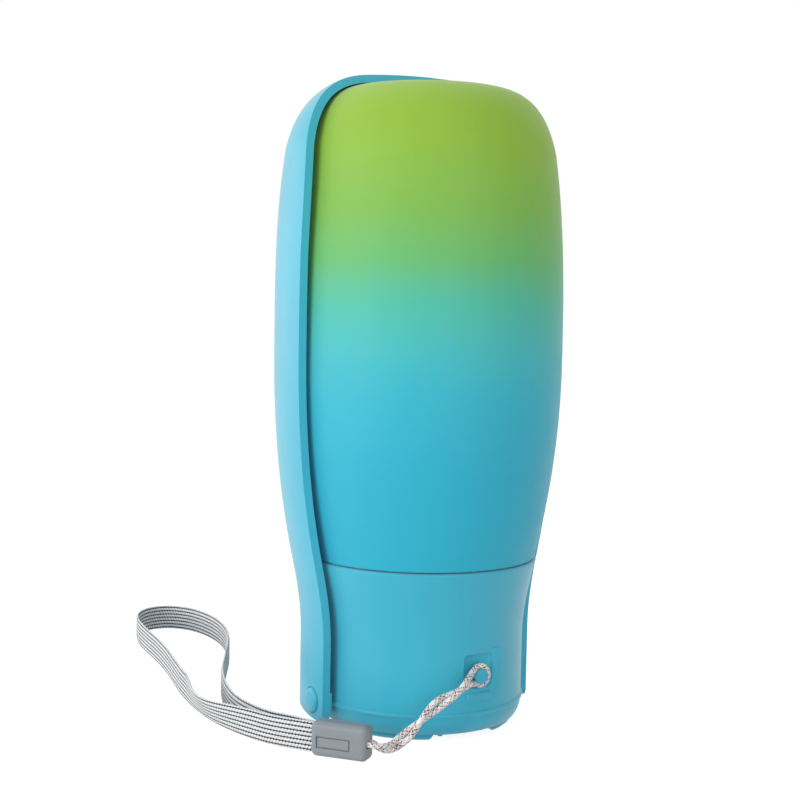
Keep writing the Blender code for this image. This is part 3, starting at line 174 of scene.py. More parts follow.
TROUGH_EDGE_ROUND = 0.0012
PAD_BACK = 0.0066
PAD_BELOW = 0.0036
PAD_ABOVE = 0.0034
PAD_CAP_GAP = 0.0010
PAD_FRONT_SETBACK = 0.0002
PAD_ROUND = 0.0005
PIN_RADIUS = 0.0023
PIN_TIP = ((-0.0003, 0.0), (0.0004, 0.0009), (0.0, 0.0013))
PIN_DOME_STEPS = 8
PIN_DOME_RISE_POWER = 0.8
PIN_DOME_SIDE_POWER = 0.45
PIN_BORE_RADIUS = PIN_RADIUS + FIT_GAP
PIN_SEAT_RADIUS = PIN_HEAD_RADIUS + FIT_GAP
PIN_SEAT_DEPTH = 0.0008
PIN_SEAT_FLOOR = TROUGH_CAP_INNER + TROUGH_WALL - PIN_SEAT_DEPTH

# Slopes of the flowing outlines, as radius gained for each unit of height
SEAM_LEAN = 0.228
TROUGH_SEAM_LEAN = 0.215
SHOULDER_LEAN = -0.15
SHOULDER_PULL_LEAN = -0.22
SHOULDER_PULL_SHARE = 0.66
DOME_PULL_SHARE = 0.52
DOME_PULL_DROP = 0.0009
DOME_SHARES = (1.0, 0.75, 0.5, 0.25)
FILLET_SHARES = ((1.0, 0.0), (0.5, 0.13), (0.13, 0.5))

# Clasp
CLASP_LENGTH = 0.0184
CLASP_HEIGHT = 0.0108
CLASP_DEPTH = 0.0066
CLASP_ROUND = 0.0019
CLASP_SIDE_GAP = 0.01015
CLASP_FRONT_SETBACK = 0.00255
CLASP_CENTRE = Vector((-CAP_RADIUS - CLASP_SIDE_GAP, CLASP_FRONT_SETBACK - CAP_RADIUS, CLASP_HEIGHT / 2))
CLASP_TURN = math.radians(-49.5)
CLASP_ALONG = Vector((math.cos(CLASP_TURN), math.sin(CLASP_TURN), 0))
CLASP_SHARP_ANGLE = math.radians(30)
CLASP_SPLIT = 0.0003
CLASP_PANEL_LENGTH = 0.0110
CLASP_PANEL_HEIGHT = 0.0036
CLASP_PANEL_SIDE = 0.0017
CLASP_PANEL_DROP = 0.0007
CLASP_PANEL_DEPTH = 0.0006
CLASP_PANEL_GROOVE = 0.0004
CLASP_PANEL_SINK = 0.00015
BAND_POCKET_LENGTH = 0.0080
CORD_POCKET_LENGTH = 0.0070
CORD_POCKET_HALF_HEIGHT = 0.0013
CORD_POCKET_HALF_DEPTH = 0.0024

# Band: its route on the floor, about the clasp's centre
BAND_WIDTH = 0.0094
BAND_THICKNESS = 0.0011
BAND_LIFT = 0.0003
BAND_LAYER_GAP = 0.0005
BAND_CLASP_REACH = 0.0180
BAND_LEAN_PLACE = 0.0560
BAND_LEAN_SPREAD = 0.0280
BAND_LEAN = math.radians(26)
BAND_ROUTE = (
    (-0.0120, 0.0148), (-0.0162, 0.0238), (-0.0196, 0.0348), (-0.0216, 0.0478),
    (-0.0217, 0.0628), (-0.0200, 0.0798), (-0.0172, 0.0958), (-0.0140, 0.1128),
    (-0.0116, 0.1298), (-0.0100, 0.1468), (-0.0080, 0.1608), (-0.0040, 0.1728),
    (0.0025, 0.1798), (0.0105, 0.1808), (0.0170, 0.1748), (0.0202, 0.1638),
    (0.0204, 0.1488), (0.0170, 0.1318), (0.0105, 0.1148), (0.0020, 0.0968),
    (-0.0060, 0.0798), (-0.0120, 0.0628), (-0.0152, 0.0468), (-0.0150, 0.0338),
    (-0.0128, 0.0238), (-0.0094, 0.0164),
)
BAND_STEP = 0.0004
BAND_WALES = 7
BAND_WALE_POINTS = 5
BAND_RIB_DEPTH_SHARE = 0.20
BAND_RIB_POWER = 1.5
BAND_EDGE_SHARE = 0.55
BAND_EDGE_SLOPE = 3.2
STITCH_LENGTH = 0.00118
STITCH_SLANT = 0.70
STITCH_WIDTH_SHARE = 2.55
STITCH_WIDTH_POWER = 2.8
STITCH_LENGTH_SHARE = 2.05
STITCH_LENGTH_POWER = 3.4

# Cord: the middle of its two strands, about the cap's front at the stud
CORD_DIAMETER = 0.0019
CORD_STRAND_SPACING = 0.0022
CORD_HALF_TURNS = 2.5
CORD_STRAIGHT_SHARE = 0.14
CORD_END_GAP = 0.0018
CORD_LOOP_RADIUS = 0.0030
CORD_LOOP_REACH = 125
CORD_LOOP_STEPS = 8
CORD_PAIR_ROUTE = (
    (-0.0369, -0.0056, 0.0047), (-0.0350, -0.0060, 0.0041), (-0.0319, -0.0056, 0.0037),
    (-0.0279, -0.0053, 0.0054), (-0.0243, -0.0053, 0.0080), (-0.0200, -0.0055, 0.0117),
    (-0.0152, -0.0058, 0.0152), (-0.0106, -0.0060, 0.0172), (-0.0068, -0.0054, 0.0190),
    (-0.0038, -0.0042, 0.0202),
)
CORD_POINTS = 60
CORD_STEP = 0.00014
CORD_SIDES = 64
CORD_YARNS = 12
CORD_BRAID_PITCH = 0.0068
CORD_YARN_DEPTH = 0.00012
YARN_ROUND_POWER = 0.7
YARN_OVER_RISE = 0.55
YARN_STRIDE = 5
YARN_BACK_SHIFT = 3

# Camera, as it was fitted to the photograph
CAMERA_DISTANCE = 0.49275
CAMERA_HEIGHT = 0.1422
CAMERA_AZIMUTH = math.radians(-30)
CAMERA_YAW = math.radians(0.91)
CAMERA_PITCH = math.radians(-4.35)
CAMERA_ROLL = math.radians(-1.11)
CAMERA_LENS = 67.5
CAMERA_NEAR = 0.01
SENSOR_WIDTH = 36.0

# Floor, surround and lamps; places are in the view's right, away and up, powers in watts
FLOOR_SIZE = 6.0
FLOOR_GREY = 0.80
FLOOR_GLOW = 0.88
FLOOR_SHADOW = 0.38
WORLD_TINT = (0.96, 0.98, 1.0)
WORLD_LEFT = 1.05
WORLD_RIGHT = 0.10
LAMP_TARGET = (0, 0, 0.10)
LAMPS = (
    ("wall", (-0.90, 0.35, 0.22), (0.8, 0.4), 1.4),
    ("key", (-0.75, -0.60, 0.25), (0.6, 0.5), 3.0),
    ("fill", (0.42, -0.86, 0.32), (0.7, 0.6), 2.1),
    ("top", (0.0, 0.15, 0.95), (0.8, 0.6), 0.8),
)

# How finely the shapes are drawn
ROUND_STEPS = 160
SMALL_ROUND_STEPS = 48
FLOW_STEPS = 14
SMALL_FLOW_STEPS = 10
CROWN_STEPS = 20
ROUTE_STEPS = 40
SHARP_ANGLE = math.radians(38)
ROUNDED_ANGLE = math.radians(40)
WELD_DISTANCE = 0.00001
CUT_OVERRUN = 0.0020


def flow(start, start_pull, end_pull, end, steps=FLOW_STEPS):
    """Points of a smooth curve in (radius, height), without its last point."""
    knots = [Vector((*p, 0.0)) for p in (start, start_pull, end_pull, end)]
    return [(p.x, p.y) for p in interpolate_bezier(*knots, steps + 1)[:-1]]


def leaning(start, start_lean, end, end_lean):
    """A flow whose two ends leave and arrive at the given slopes."""
    reach = (end[1] - start[1]) / 3
    start_pull = (start[0] + start_lean * reach, start[1] + reach)
    end_pull = (end[0] - end_lean * reach, end[1] - reach)
    return flow(start, start_pull, end_pull, end)


def crown(start, apex_radius, apex):
    """The rounded shoulder that turns over into the almost flat top."""
    rise = apex - start[1]
    drop = start[0] - apex_radius
    pull = rise * SHOULDER_PULL_SHARE
    return flow(
        start,
        (start[0] + SHOULDER_PULL_LEAN * pull, start[1] + pull),
        (apex_radius + drop * DOME_PULL_SHARE, apex - DOME_PULL_DROP),
        (apex_radius, apex),
        CROWN_STEPS,
    )


def dome(radius, top):
    """The almost flat top, from its edge in to the axis."""
    return [(radius * share, top - DOME_CROWN * share * share) for share in DOME_SHARES] + [(0.0, top)]


def fillet(radius, height, way):
    """A rounded corner from its level face out to a side that goes up from it (1) or down (-1)."""
    return [(radius - RIM_FILLET * a, height + way * RIM_FILLET * b) for a, b in FILLET_SHARES]


def heading(points, i):
    """The path's direction at one of its points."""
    return (points[min(i + 1, len(points) - 1)] - points[max(i - 1, 0)]).normalized()


def beside(path, distance):
    """The path moved to its left, as it runs from bottom to top, by a positive distance."""
    points = [Vector(point) for point in path]
    moved = []
    for i, (r, z) in enumerate(path):
        along = heading(points, i)
        moved.append((max(r - along.y * distance, 0.0), z + along.x * distance))
    return moved


def link(obj):
    """Puts an object into the scene."""
    bpy.context.scene.collection.objects.link(obj)
    return obj


def mesh_object(name, bm, material=None, smooth=True):
    """Links a bmesh that was built about the bottle's axis, moved to where the frame has it."""
    bmesh.ops.recalc_face_normals(bm, faces=bm.faces)
    bm.transform(Matrix.Translation(AXIS))
    mesh = bpy.data.meshes.new(name)
    bm.to_mesh(mesh)
    bm.free()
    if smooth:
        mesh.shade_smooth()
    if material:
        mesh.materials.append(material)
    return link(bpy.data.objects.new(name, mesh))


AXIS_TURNS = {
    "Z": Matrix.Identity(3),
    "Y": Matrix(((1, 0, 0), (0, 0, 1), (0, -1, 0))),
    "X": Matrix(((0, 0, 1), (0, 1, 0), (-1, 0, 0))),
}


def turned(outline, axis="Z", centre=(0, 0, 0), steps=ROUND_STEPS):
    """A closed outline of (radius, place along the axis), turned round it."""
    bm = bmesh.new()
    rings = []
    for radius, along in outline:
        if radius == 0:
            rings.append([bm.verts.new((0, 0, along))])
            continue
        angles = [2 * math.pi * i / steps for i in range(steps)]
        rings.append([bm.verts.new((radius * math.cos(a), radius * math.sin(a), along)) for a in angles])
    for first, second in zip(rings, rings[1:] + rings[:1]):
        if len(first) == 1 and len(second) == 1:
            continue
        for i in range(steps):
            j = (i + 1) % steps
            corners = [first[i % len(first)], first[j % len(first)]]
            corners += [second[j % len(second)], second[i % len(second)]]
            bm.faces.new(list(dict.fromkeys(corners)))
    bm.transform(Matrix.Translation(centre) @ AXIS_TURNS[axis].to_4x4())
    return bm


def rod(radius, start, end, axis="Z", centre=(0, 0, 0), steps=SMALL_ROUND_STEPS):
    """A solid cylinder between two places along the axis."""
    return turned([(0, start), (radius, start), (radius, end), (0, end)], axis, centre, steps)


def block(low, high, rounding=0.0, segments=4):
    """A box between two corners, with all its edges rounded."""
    bm = bmesh.new()
    bmesh.ops.create_cube(bm, size=1)
    size = Vector(high) - Vector(low)
    middle = (Vector(high) + Vector(low)) / 2
    bm.transform(Matrix.Translation(middle) @ Matrix.Diagonal((*size, 1)))
    if rounding:
        bmesh.ops.bevel(
            bm, geom=bm.edges[:], affect="EDGES",
            offset=rounding, segments=segments, profile=0.5, clamp_overlap=True,
        )
    return bm


def skin(bm, loops):
    """Faces along a row of loops of points, with both ends closed."""
    for a, b in zip(loops, loops[1:]):
        for i in range(len(a)):
            j = (i + 1) % len(a)
            bm.faces.new((a[i], a[j], b[j], b[i]))
    bm.faces.new(loops[0][::-1])
    bm.faces.new(loops[-1])


def combine(obj, tool_bm, operation):
    """Adds or cuts a shape, and leaves the result as a plain mesh."""
    tool = mesh_object("tool", tool_bm)
    modifier = obj.modifiers.new(operation.title(), "BOOLEAN")
    modifier.object = tool
    modifier.operation = operation
    modifier.solver = "EXACT"
    settle(obj)
    bpy.data.objects.remove(tool, do_unlink=True)


def settle(obj):
    """Turns the object's modifiers into its mesh."""
    graph = bpy.context.evaluated_depsgraph_get()
    mesh = bpy.data.meshes.new_from_object(obj.evaluated_get(graph))
    obj.modifiers.clear()
    obj.data = mesh
    return obj


def round_edges(obj, width, segments):
    """Rounds the edges where the form turns a corner."""
    weld = obj.modifiers.new("Merged points", "WELD")
    weld.merge_threshold = WELD_DISTANCE
    bevel = obj.modifiers.new("Rounded edges", "BEVEL")
    bevel.width = width
    bevel.segments = segments
    bevel.limit_method = "ANGLE"
    bevel.angle_limit = ROUNDED_ANGLE
    bevel.miter_outer = "MITER_ARC"
    return settle(obj)


def finish_shading(obj, material, angle=SHARP_ANGLE):
    """Smooth faces with sharp edges only where the form turns a corner."""
    mesh = obj.data
    mesh.shade_smooth()
    mesh.set_sharp_from_angle(angle=angle)
    mesh.materials.clear()
    mesh.materials.append(material)
    normals = obj.modifiers.new("Even shading", "WEIGHTED_NORMAL")
    normals.keep_sharp = True
    return obj


def smooth_route(route, step=None, count=None):
    """Even points along a smooth curve through the route's own points."""
    knots = [Vector(p) for p in route]
    dense = []
    for i in range(len(knots) - 1):
        before = knots[i - 1] if i else knots[0] * 2 - knots[1]
        after = knots[i + 2] if i + 2 < len(knots) else knots[-1] * 2 - knots[-2]
        pull_out = knots[i] + (knots[i + 1] - before) / 6
        pull_in = knots[i + 1] - (after - knots[i]) / 6
        dense += interpolate_bezier(knots[i], pull_out, pull_in, knots[i + 1], ROUTE_STEPS)[:-1]
    dense.append(knots[-1])
    along = [0.0]
    for a, b in zip(dense, dense[1:]):
        along.append(along[-1] + (b - a).length)
    count = count or int(along[-1] / step) + 1
    points, at = [], 0
    for i in range(count):
        target = along[-1] * i / (count - 1)
        while at < len(along) - 2 and along[at + 1] < target:
            at += 1
        share = (target - along[at]) / max(along[at + 1] - along[at], 1e-9)
        points.append(dense[at].lerp(dense[at + 1], min(max(share, 0.0), 1.0)))
    return points


def length_of(points):
    """The length of the line through the points."""
    return sum((b - a).length for a, b in zip(points, points[1:]))


def eased(share):
    """A share from 0 to 1 that starts and ends gently."""
    share = min(max(share, 0.0), 1.0)
    return share * share * (3 - 2 * share)


class Nodes:
    """Short calls that build the nodes of one tree."""

    def __init__(self, tree):
        self.tree = tree

    def set(self, node, socket, value):
        """Gives a socket a value, or links it to another node's output."""
        if isinstance(value, bpy.types.NodeSocket):
            self.tree.links.new(value, node.inputs[socket])
        else:
            node.inputs[socket].default_value = value

    def node(self, kind, inputs=(), **settings):
        """A new node with its inputs and settings."""
        made = self.tree.nodes.new(kind)
        for key, value in settings.items():
            setattr(made, key, value)
        for socket, value in dict(inputs).items():
            self.set(made, socket, value)
        return made

    def math(self, operation, first, second=0.0):
        """The result of one operation on its values."""
        return self.node("ShaderNodeMath", {0: first, 1: second}, operation=operation).outputs[0]

    def spread(self, value, low, high, new_low, new_high, smooth=False):
        """The value, with its span turned into another one."""
        inputs = {"Value": value, "From Min": low, "From Max": high, "To Min": new_low, "To Max": new_high}
        kind = "SMOOTHSTEP" if smooth else "LINEAR"
        return self.node("ShaderNodeMapRange", inputs, interpolation_type=kind).outputs["Result"]


class Look(Nodes):
    """A material with a Principled shader, and what its surface needs."""

    def __init__(self, name, colour, roughness, metallic=0.0):
        self.material = bpy.data.materials.new(name)
        self.material.use_nodes = True
        super().__init__(self.material.node_tree)
        self.shader = self.tree.nodes["Principled BSDF"]
        self.material.diffuse_color = (*colour, 1.0)
        self.paint(base_color=colour, roughness=roughness, metallic=metallic)

    def place(self):
        """The point's place on the piece at rest, in metres."""
        return self.node("ShaderNodeTexCoord").outputs["Object"]

    def noise(self, scale, detail=2.0, roughness=0.5, vector=None):
        """Soft noise from 0 to 1 over the piece."""
        inputs = {"Scale": scale, "Detail": detail, "Roughness": roughness, "Vector": vector or self.place()}
        return self.node("ShaderNodeTexNoise", inputs).outputs["Fac"]

    def mix(self, share, first, second, blend="MIX"):
        """Two colours mixed by a share."""
        made = self.node("ShaderNodeMix", data_type="RGBA", blend_type=blend)
        for socket, value in ((0, share), (6, first), (7, second)):
            if not isinstance(value, bpy.types.NodeSocket) and socket:
                value = (*value, 1.0)
            self.set(made, socket, value)
        return made.outputs[2]

    def ramp(self, share, stops):
        """The colour that the stops give to a share."""
        made = self.node("ShaderNodeValToRGB", {"Fac": share})
        elements = made.color_ramp.elements
        while len(elements) < len(stops):
            elements.new(0.5)
        for element, (place, colour) in zip(elements, stops):
            element.position = place
            element.color = (*colour, 1.0)
        return made.outputs["Color"]

    def bump(self, height, distance):
        """Fine relief on the surface, as deep as the distance."""
        made = self.node("ShaderNodeBump", {"Height": height, "Distance": distance, "Strength": 1.0})
        self.set(self.shader, "Normal", made.outputs["Normal"])

    def paint(self, **sockets):
        """Sets or links the shader's sockets by their names."""
        for name, value in sockets.items():
            socket = name.replace("_", " ").title().replace("Ior", "IOR")
            if isinstance(value, tuple):
                value = (*value, 1.0)
            self.set(self.shader, socket, value)


def colour(red, green, blue):
    """A colour as it looks on a screen, from 0 to 255, turned into the shader's own scale."""
    return tuple(
        part / 12.92 if part <= 0.04045 else ((part + 0.055) / 1.055) ** 2.4
        for part in (red / 255, green / 255, blue / 255)
    )


def moulded(name, tint, grain=0.00001, grain_scale=9000.0, drift=0.04):
    """Moulded plastic: a faint drift in the colour, an uneven sheen and a fine spark-eroded grain."""
    look = Look(name, tint, roughness=0.42)
    cloud = look.noise(scale=22.0, detail=3.0, roughness=0.55)
    deep = tuple(part * (1 - drift) for part in tint)
    pale = tuple(min(part * (1 + drift), 1.0) for part in tint)
    look.paint(base_color=look.mix(look.spread(cloud, 0.3, 0.7, 0.0, 1.0), deep, pale))
    sheen = look.noise(scale=160.0, detail=4.0, roughness=0.6)
    base = look.shader.inputs["Roughness"].default_value
    look.paint(roughness=look.spread(sheen, 0.3, 0.7, base - 0.03, base + 0.04))
    look.bump(look.noise(scale=grain_scale, detail=2.0, roughness=0.6), grain)
    return look


def blue_plastic():
    """The satin plastic of the cap, the trough, the pins and the button."""
    look = moulded("satin_blue_plastic", colour(50, 181, 207))
    look.paint(specular_ior_level=0.45, sheen_weight=0.4, sheen_roughness=0.5)
    return look.material


def bottle_coating():
    """A soft-touch coating, sprayed from green at the closed end to pale blue at the mouth."""
    look = Look("soft_touch_ombre", colour(120, 205, 200), roughness=0.52)
    split = look.node("ShaderNodeSeparateXYZ", {0: look.place()})
    mist = look.noise(scale=38.0, detail=5.0, roughness=0.62)
    speck = look.noise(scale=900.0, detail=2.0, roughness=0.7)
    height = look.math("ADD", split.outputs["Z"], look.spread(mist, 0.2, 0.8, -0.0035, 0.0035))
    height = look.math("ADD", height, look.spread(speck, 0.2, 0.8, -0.0012, 0.0012))
    share = look.spread(height, SEAM_HEIGHT, BOTTLE_TOP, 0.0, 1.0)
    stops = (
        (0.00, colour(36, 178, 205)),
        (0.20, colour(38, 178, 205)),
        (0.36, colour(50, 184, 204)),
        (0.45, colour(68, 190, 192)),
        (0.54, colour(78, 192, 166)),
        (0.63, colour(104, 189, 112)),
        (0.73, colour(126, 187, 78)),
        (0.86, colour(144, 189, 58)),
        (1.00, colour(149, 191, 54)),
    )
    sheen = look.noise(scale=120.0, detail=4.0, roughness=0.6)
    look.paint(base_color=look.ramp(share, stops), roughness=look.spread(sheen, 0.3, 0.7, 0.50, 0.58))
    look.bump(look.noise(scale=7000.0, detail=3.0, roughness=0.7), distance=0.000012)
    look.paint(specular_ior_level=0.35, sheen_weight=0.18, sheen_roughness=0.5)
    return look.material


def inner_plastic():
    """The plain white plastic of the valve."""
    return moulded("white_moulding", colour(226, 228, 228), drift=0.015).material


def silicone():
    """The seals' milky rubber."""
    look = Look("milky_silicone", colour(214, 218, 216), roughness=0.38)
    look.paint(subsurface_weight=0.5, subsurface_scale=0.0015)
    look.bump(look.noise(scale=4000.0), distance=0.00001)
    return look.material


def spring_steel():
    """Bright drawn wire."""
    look = Look("drawn_steel", colour(184, 186, 188), roughness=0.28, metallic=1.0)
    look.bump(look.noise(scale=6000.0), distance=0.000004)
    return look.material


def clasp_plastic():
    """The clasp's grey plastic, with a coarser grain."""
    look = moulded("grey_plastic", colour(142, 148, 154), grain=0.00002, grain_scale=5200.0, drift=0.035)
    look.paint(specular_ior_level=0.4)
    return look.material


def webbing():
    """A flat braid: rows of slanted white stitches, with painted near-black shade in the gaps where they
    part and along the grooves between the rows.
    """
    look = Look("braided_webbing", colour(244, 244, 243), roughness=0.86)
    calc = look.math
    across = calc("ADD", look.node("ShaderNodeAttribute", attribute_name="wale").outputs["Fac"], 0.5)
    along = look.node("ShaderNodeAttribute", attribute_name="along").outputs["Fac"]
    wale = calc("FLOOR", across)
    inside = calc("SUBTRACT", calc("SUBTRACT", across, wale), 0.5)
    slant = calc("MULTIPLY", inside, STITCH_SLANT)
    phase = calc("ADD", calc("DIVIDE", along, STITCH_LENGTH), slant)
    phase = calc("ADD", phase, calc("MULTIPLY", wale, 0.5))
    from_middle = calc("SUBTRACT", calc("FRACT", phase), 0.5)
    spans = []
    for offset, size, power in (
        (inside, STITCH_WIDTH_SHARE, STITCH_WIDTH_POWER),
        (from_middle, STITCH_LENGTH_SHARE, STITCH_LENGTH_POWER),
    ):
        spans.append(calc("POWER", calc("ABSOLUTE", calc("MULTIPLY", offset, size)), power))
    bean = calc("SUBTRACT", 1.0, calc("ADD", *spans))
    fibre_place = look.node(
        "ShaderNodeCombineXYZ",
        {0: calc("MULTIPLY", phase, 1.6), 1: calc("MULTIPLY", across, 9.0), 2: wale},
    )
    fibre = look.noise(scale=1.0, detail=3.0, roughness=0.7, vector=fibre_place.outputs[0])
    edge = calc("ADD", bean, calc("MULTIPLY", calc("SUBTRACT", fibre, 0.5), 0.35))
    # Painted shade: near black where the stitches part and along the grooves between the rows, the same
    # places where the bump sinks
    painted_gap_shade = look.spread(edge, -0.10, 0.22, 1.0, 0.0, smooth=True)
    pale = look.mix(fibre, colour(226, 227, 228), colour(255, 255, 255))
    rise = calc("ADD", calc("MAXIMUM", bean, -0.4), calc("MULTIPLY", fibre, 0.12))
    look.bump(rise, distance=0.00020)
    # The colour of the painted shade in the gaps and grooves
    gap_shade_colour = colour(16, 16, 18)
    look.paint(base_color=look.mix(painted_gap_shade, pale, gap_shade_colour), sheen_weight=0.25, specular_ior_level=0.25)
    return look.material


def cord_yarn():
    """Each yarn of the cord's braid has its own colour, written on the mesh where the yarns cross."""
    look = Look("braided_cord", colour(228, 224, 220), roughness=0.82)
    yarn = look.node("ShaderNodeAttribute", attribute_name="yarn").outputs["Color"]
    fuzz = look.noise(scale=5200.0, detail=3.0, roughness=0.7)
    shade = look.mix(look.spread(fuzz, 0.3, 0.7, 0.0, 0.12), colour(255, 255, 255), colour(120, 116, 112))
    look.bump(fuzz, distance=0.00003)
    tint = look.mix(1.0, yarn, shade, "MULTIPLY")
    look.paint(base_color=tint, sheen_weight=0.2, specular_ior_level=0.25)
    return look.material


def bottle_side():
    """The bottle's outer side in (radius, height), from the seam up to the axis."""
    seam = (BOTTLE_SEAM_RADIUS, BOTTLE_SEAT + RIM_FILLET)
    belly = (BELLY_RADIUS, BELLY_HEIGHT)
    shoulder = (SHOULDER_RADIUS, SHOULDER_HEIGHT)
    side = leaning(seam, SEAM_LEAN, belly, 0.0)
    side += leaning(belly, 0.0, shoulder, SHOULDER_LEAN)
    side += crown(shoulder, DOME_RADIUS, BOTTLE_TOP - DOME_CROWN)
    return side + dome(DOME_RADIUS, BOTTLE_TOP)


def make_bottle(material):
    """The bottle with its neck, turned in one piece."""
    outer = bottle_side()
    inner = beside(outer, BOTTLE_WALL)
    inner[-1] = (0.0, BOTTLE_TOP - BOTTLE_WALL)
    neck_inner = NECK_RADIUS - NECK_WALL
    outline = fillet(BOTTLE_SEAM_RADIUS, BOTTLE_SEAT, 1) + outer + inner[::-1]
    outline += [
        (NECK_RADIUS, BOTTLE_SEAT + BOTTLE_WALL), (neck_inner, BOTTLE_SEAT),
        (neck_inner, NECK_END + RIM_FILLET), (neck_inner + RIM_FILLET, NECK_END),
        (NECK_RADIUS - RIM_FILLET, NECK_END), (NECK_RADIUS, NECK_END + RIM_FILLET),
        (NECK_RADIUS, BOTTLE_SEAT),
    ]
    bottle = mesh_object("bottle_shell", turned(outline))
    finish_shading(bottle, material)
    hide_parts("bottle_body")
    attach(bottle, "bottle")


def cap_side():
    """The cap's outer side in (radius, height): up to the bead, and on from there up to the rim."""
    corner_top = FOOT_HEIGHT + BASE_CORNER_HEIGHT
    half = BASE_CORNER_HEIGHT / 2
    side = flow(
        (BASE_EDGE_RADIUS, FOOT_HEIGHT),
        (CAP_RADIUS - half / 2, FOOT_HEIGHT + half / 4),
        (CAP_RADIUS, FOOT_HEIGHT + half),
        (CAP_RADIUS, corner_top),
        SMALL_FLOW_STEPS,
    )
    side.append((CAP_RADIUS, corner_top))
    for i in range(BEAD_STEPS + 1):
        angle = math.pi * i / BEAD_STEPS
        proud = CAP_RADIUS + BEAD_PROUD * math.sin(angle)
        side.append((proud, BEAD_HEIGHT - BEAD_HALF_WIDTH * math.cos(angle)))
    rim = (CAP_RIM_RADIUS, SEAM_HEIGHT - RIM_FILLET)
    flare = leaning((CAP_RADIUS, FLARE_START_HEIGHT), 0.0, rim, CAP_RIM_LEAN)
    return side, flare + [rim]


def make_cap(material):
    """The cap, turned in one piece with its deck and collar, then cut and added to."""
    low_side, flare = cap_side()
    inner_flare = [(r, z) for r, z in beside(flare, CAP_WALL) if z > DECK_TOP + RIM_FILLET]
    cap_inner = CAP_RADIUS - CAP_WALL
    plate_seat = BASE_EDGE_RADIUS - RIM_FILLET
    outline = low_side + flare + fillet(CAP_RIM_RADIUS, SEAM_HEIGHT, -1)[::-1]
    outline += [(CAP_RIM_RADIUS - CAP_WALL, SEAM_HEIGHT)] + inner_flare[-2::-1]
    outline += [
        (cap_inner, DECK_TOP), (COLLAR_OUTER_RADIUS, DECK_TOP),
        (COLLAR_OUTER_RADIUS, COLLAR_TOP), (COLLAR_INNER_RADIUS, COLLAR_TOP),
        (COLLAR_INNER_RADIUS, DECK_TOP), (INLET_RADIUS, DECK_TOP),
        (INLET_RADIUS, DECK_BOTTOM_HEIGHT), (cap_inner, DECK_BOTTOM_HEIGHT),
        (cap_inner, BEAD_HEIGHT), (LEDGE_INNER_RADIUS, LEDGE_BOTTOM + LEDGE_THICKNESS),
        (LEDGE_INNER_RADIUS, LEDGE_BOTTOM), (plate_seat, LEDGE_BOTTOM),
        (plate_seat, FOOT_HEIGHT),
    ]
    cap = mesh_object("cap", turned(outline))
    add_hinge_bores(cap)
    add_lug(cap)
    add_button_collar(cap)
    finish_shading(cap, material)
    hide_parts("cap_shell")
    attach(cap, "cap")


def add_hinge_bores(cap):
    """The holes that the hinge pins go through."""
    centre = (0, 0, HINGE_HEIGHT)
    reach = CAP_RADIUS + CUT_OVERRUN
    inner = CAP_RADIUS - CAP_WALL * 2
    for start, end in ((-reach, -inner), (inner, reach)):
        combine(cap, rod(PIN_BORE_RADIUS, start, end, "X", centre), "DIFFERENCE")


def add_lug(cap):
    """The pocket with its backing, the rib below it, and the stud that the cord goes round."""
    floor = CAP_RADIUS - LUG_POCKET_DEPTH
    side = LUG_POCKET_HALF_WIDTH + CAP_WALL
    low = (LUG_SIDE - side, -floor - LUG_POCKET_DEPTH / 2, LUG_POCKET_BOTTOM - CAP_WALL)
    high = (LUG_SIDE + side, -floor + LUG_BACKING, LUG_POCKET_TOP + CAP_WALL / 2)
    combine(cap, block(low, high), "UNION")
    low = (LUG_SIDE - LUG_RIB_HALF_WIDTH, -CAP_RADIUS - LUG_RIB_PROUD, LUG_RIB_BOTTOM)
    high = (LUG_SIDE + LUG_RIB_HALF_WIDTH, -CAP_RADIUS + CAP_WALL / 2, LUG_RIB_TOP)
    combine(cap, block(low, high, LUG_RIB_PROUD * LUG_RIB_ROUND_SHARE), "UNION")
    low = (LUG_SIDE - LUG_POCKET_HALF_WIDTH, -CAP_RADIUS - CUT_OVERRUN, LUG_POCKET_BOTTOM)
    high = (LUG_SIDE + LUG_POCKET_HALF_WIDTH, -floor, LUG_POCKET_TOP)
    combine(cap, block(low, high, LUG_POCKET_ROUND, 5), "DIFFERENCE")
    tip = CAP_RADIUS + STUD_PROUD
    neck = tip - STUD_HEAD_THICKNESS
    root = -floor + LUG_BACKING / 2
    rounding = STUD_HEAD_THICKNESS / 4
    stud = [
        (0, root), (0, -tip), (STUD_HEAD_RADIUS - 3 * rounding, -tip),
        (STUD_HEAD_RADIUS - rounding, -tip + rounding / 2),
        (STUD_HEAD_RADIUS, -tip + 3 * rounding / 2), (STUD_HEAD_RADIUS, -neck),
        (STUD_RADIUS, -neck), (STUD_RADIUS, root),
    ]
    combine(cap, turned(stud, "Y", (LUG_SIDE, 0, LUG_HEIGHT), SMALL_ROUND_STEPS), "UNION")


def add_button_collar(cap):
    """A collar on the cap's back wall, with the bore that the button slides in."""
    button_low, button_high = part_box("push_button")
    centre = (0, 0, (button_low.z + button_high.z) / 2)
    inner_end = CAP_RADIUS - BUTTON_COLLAR_LENGTH
    outer_end = CAP_RADIUS - CAP_WALL * BUTTON_COLLAR_SEAT_SHARE
    combine(cap, rod(BUTTON_COLLAR_RADIUS, inner_end, outer_end, "Y", centre), "UNION")
    bore = rod(BUTTON_BORE_RADIUS, inner_end - CUT_OVERRUN, CAP_RADIUS + CUT_OVERRUN, "Y", centre)
    combine(cap, bore, "DIFFERENCE")


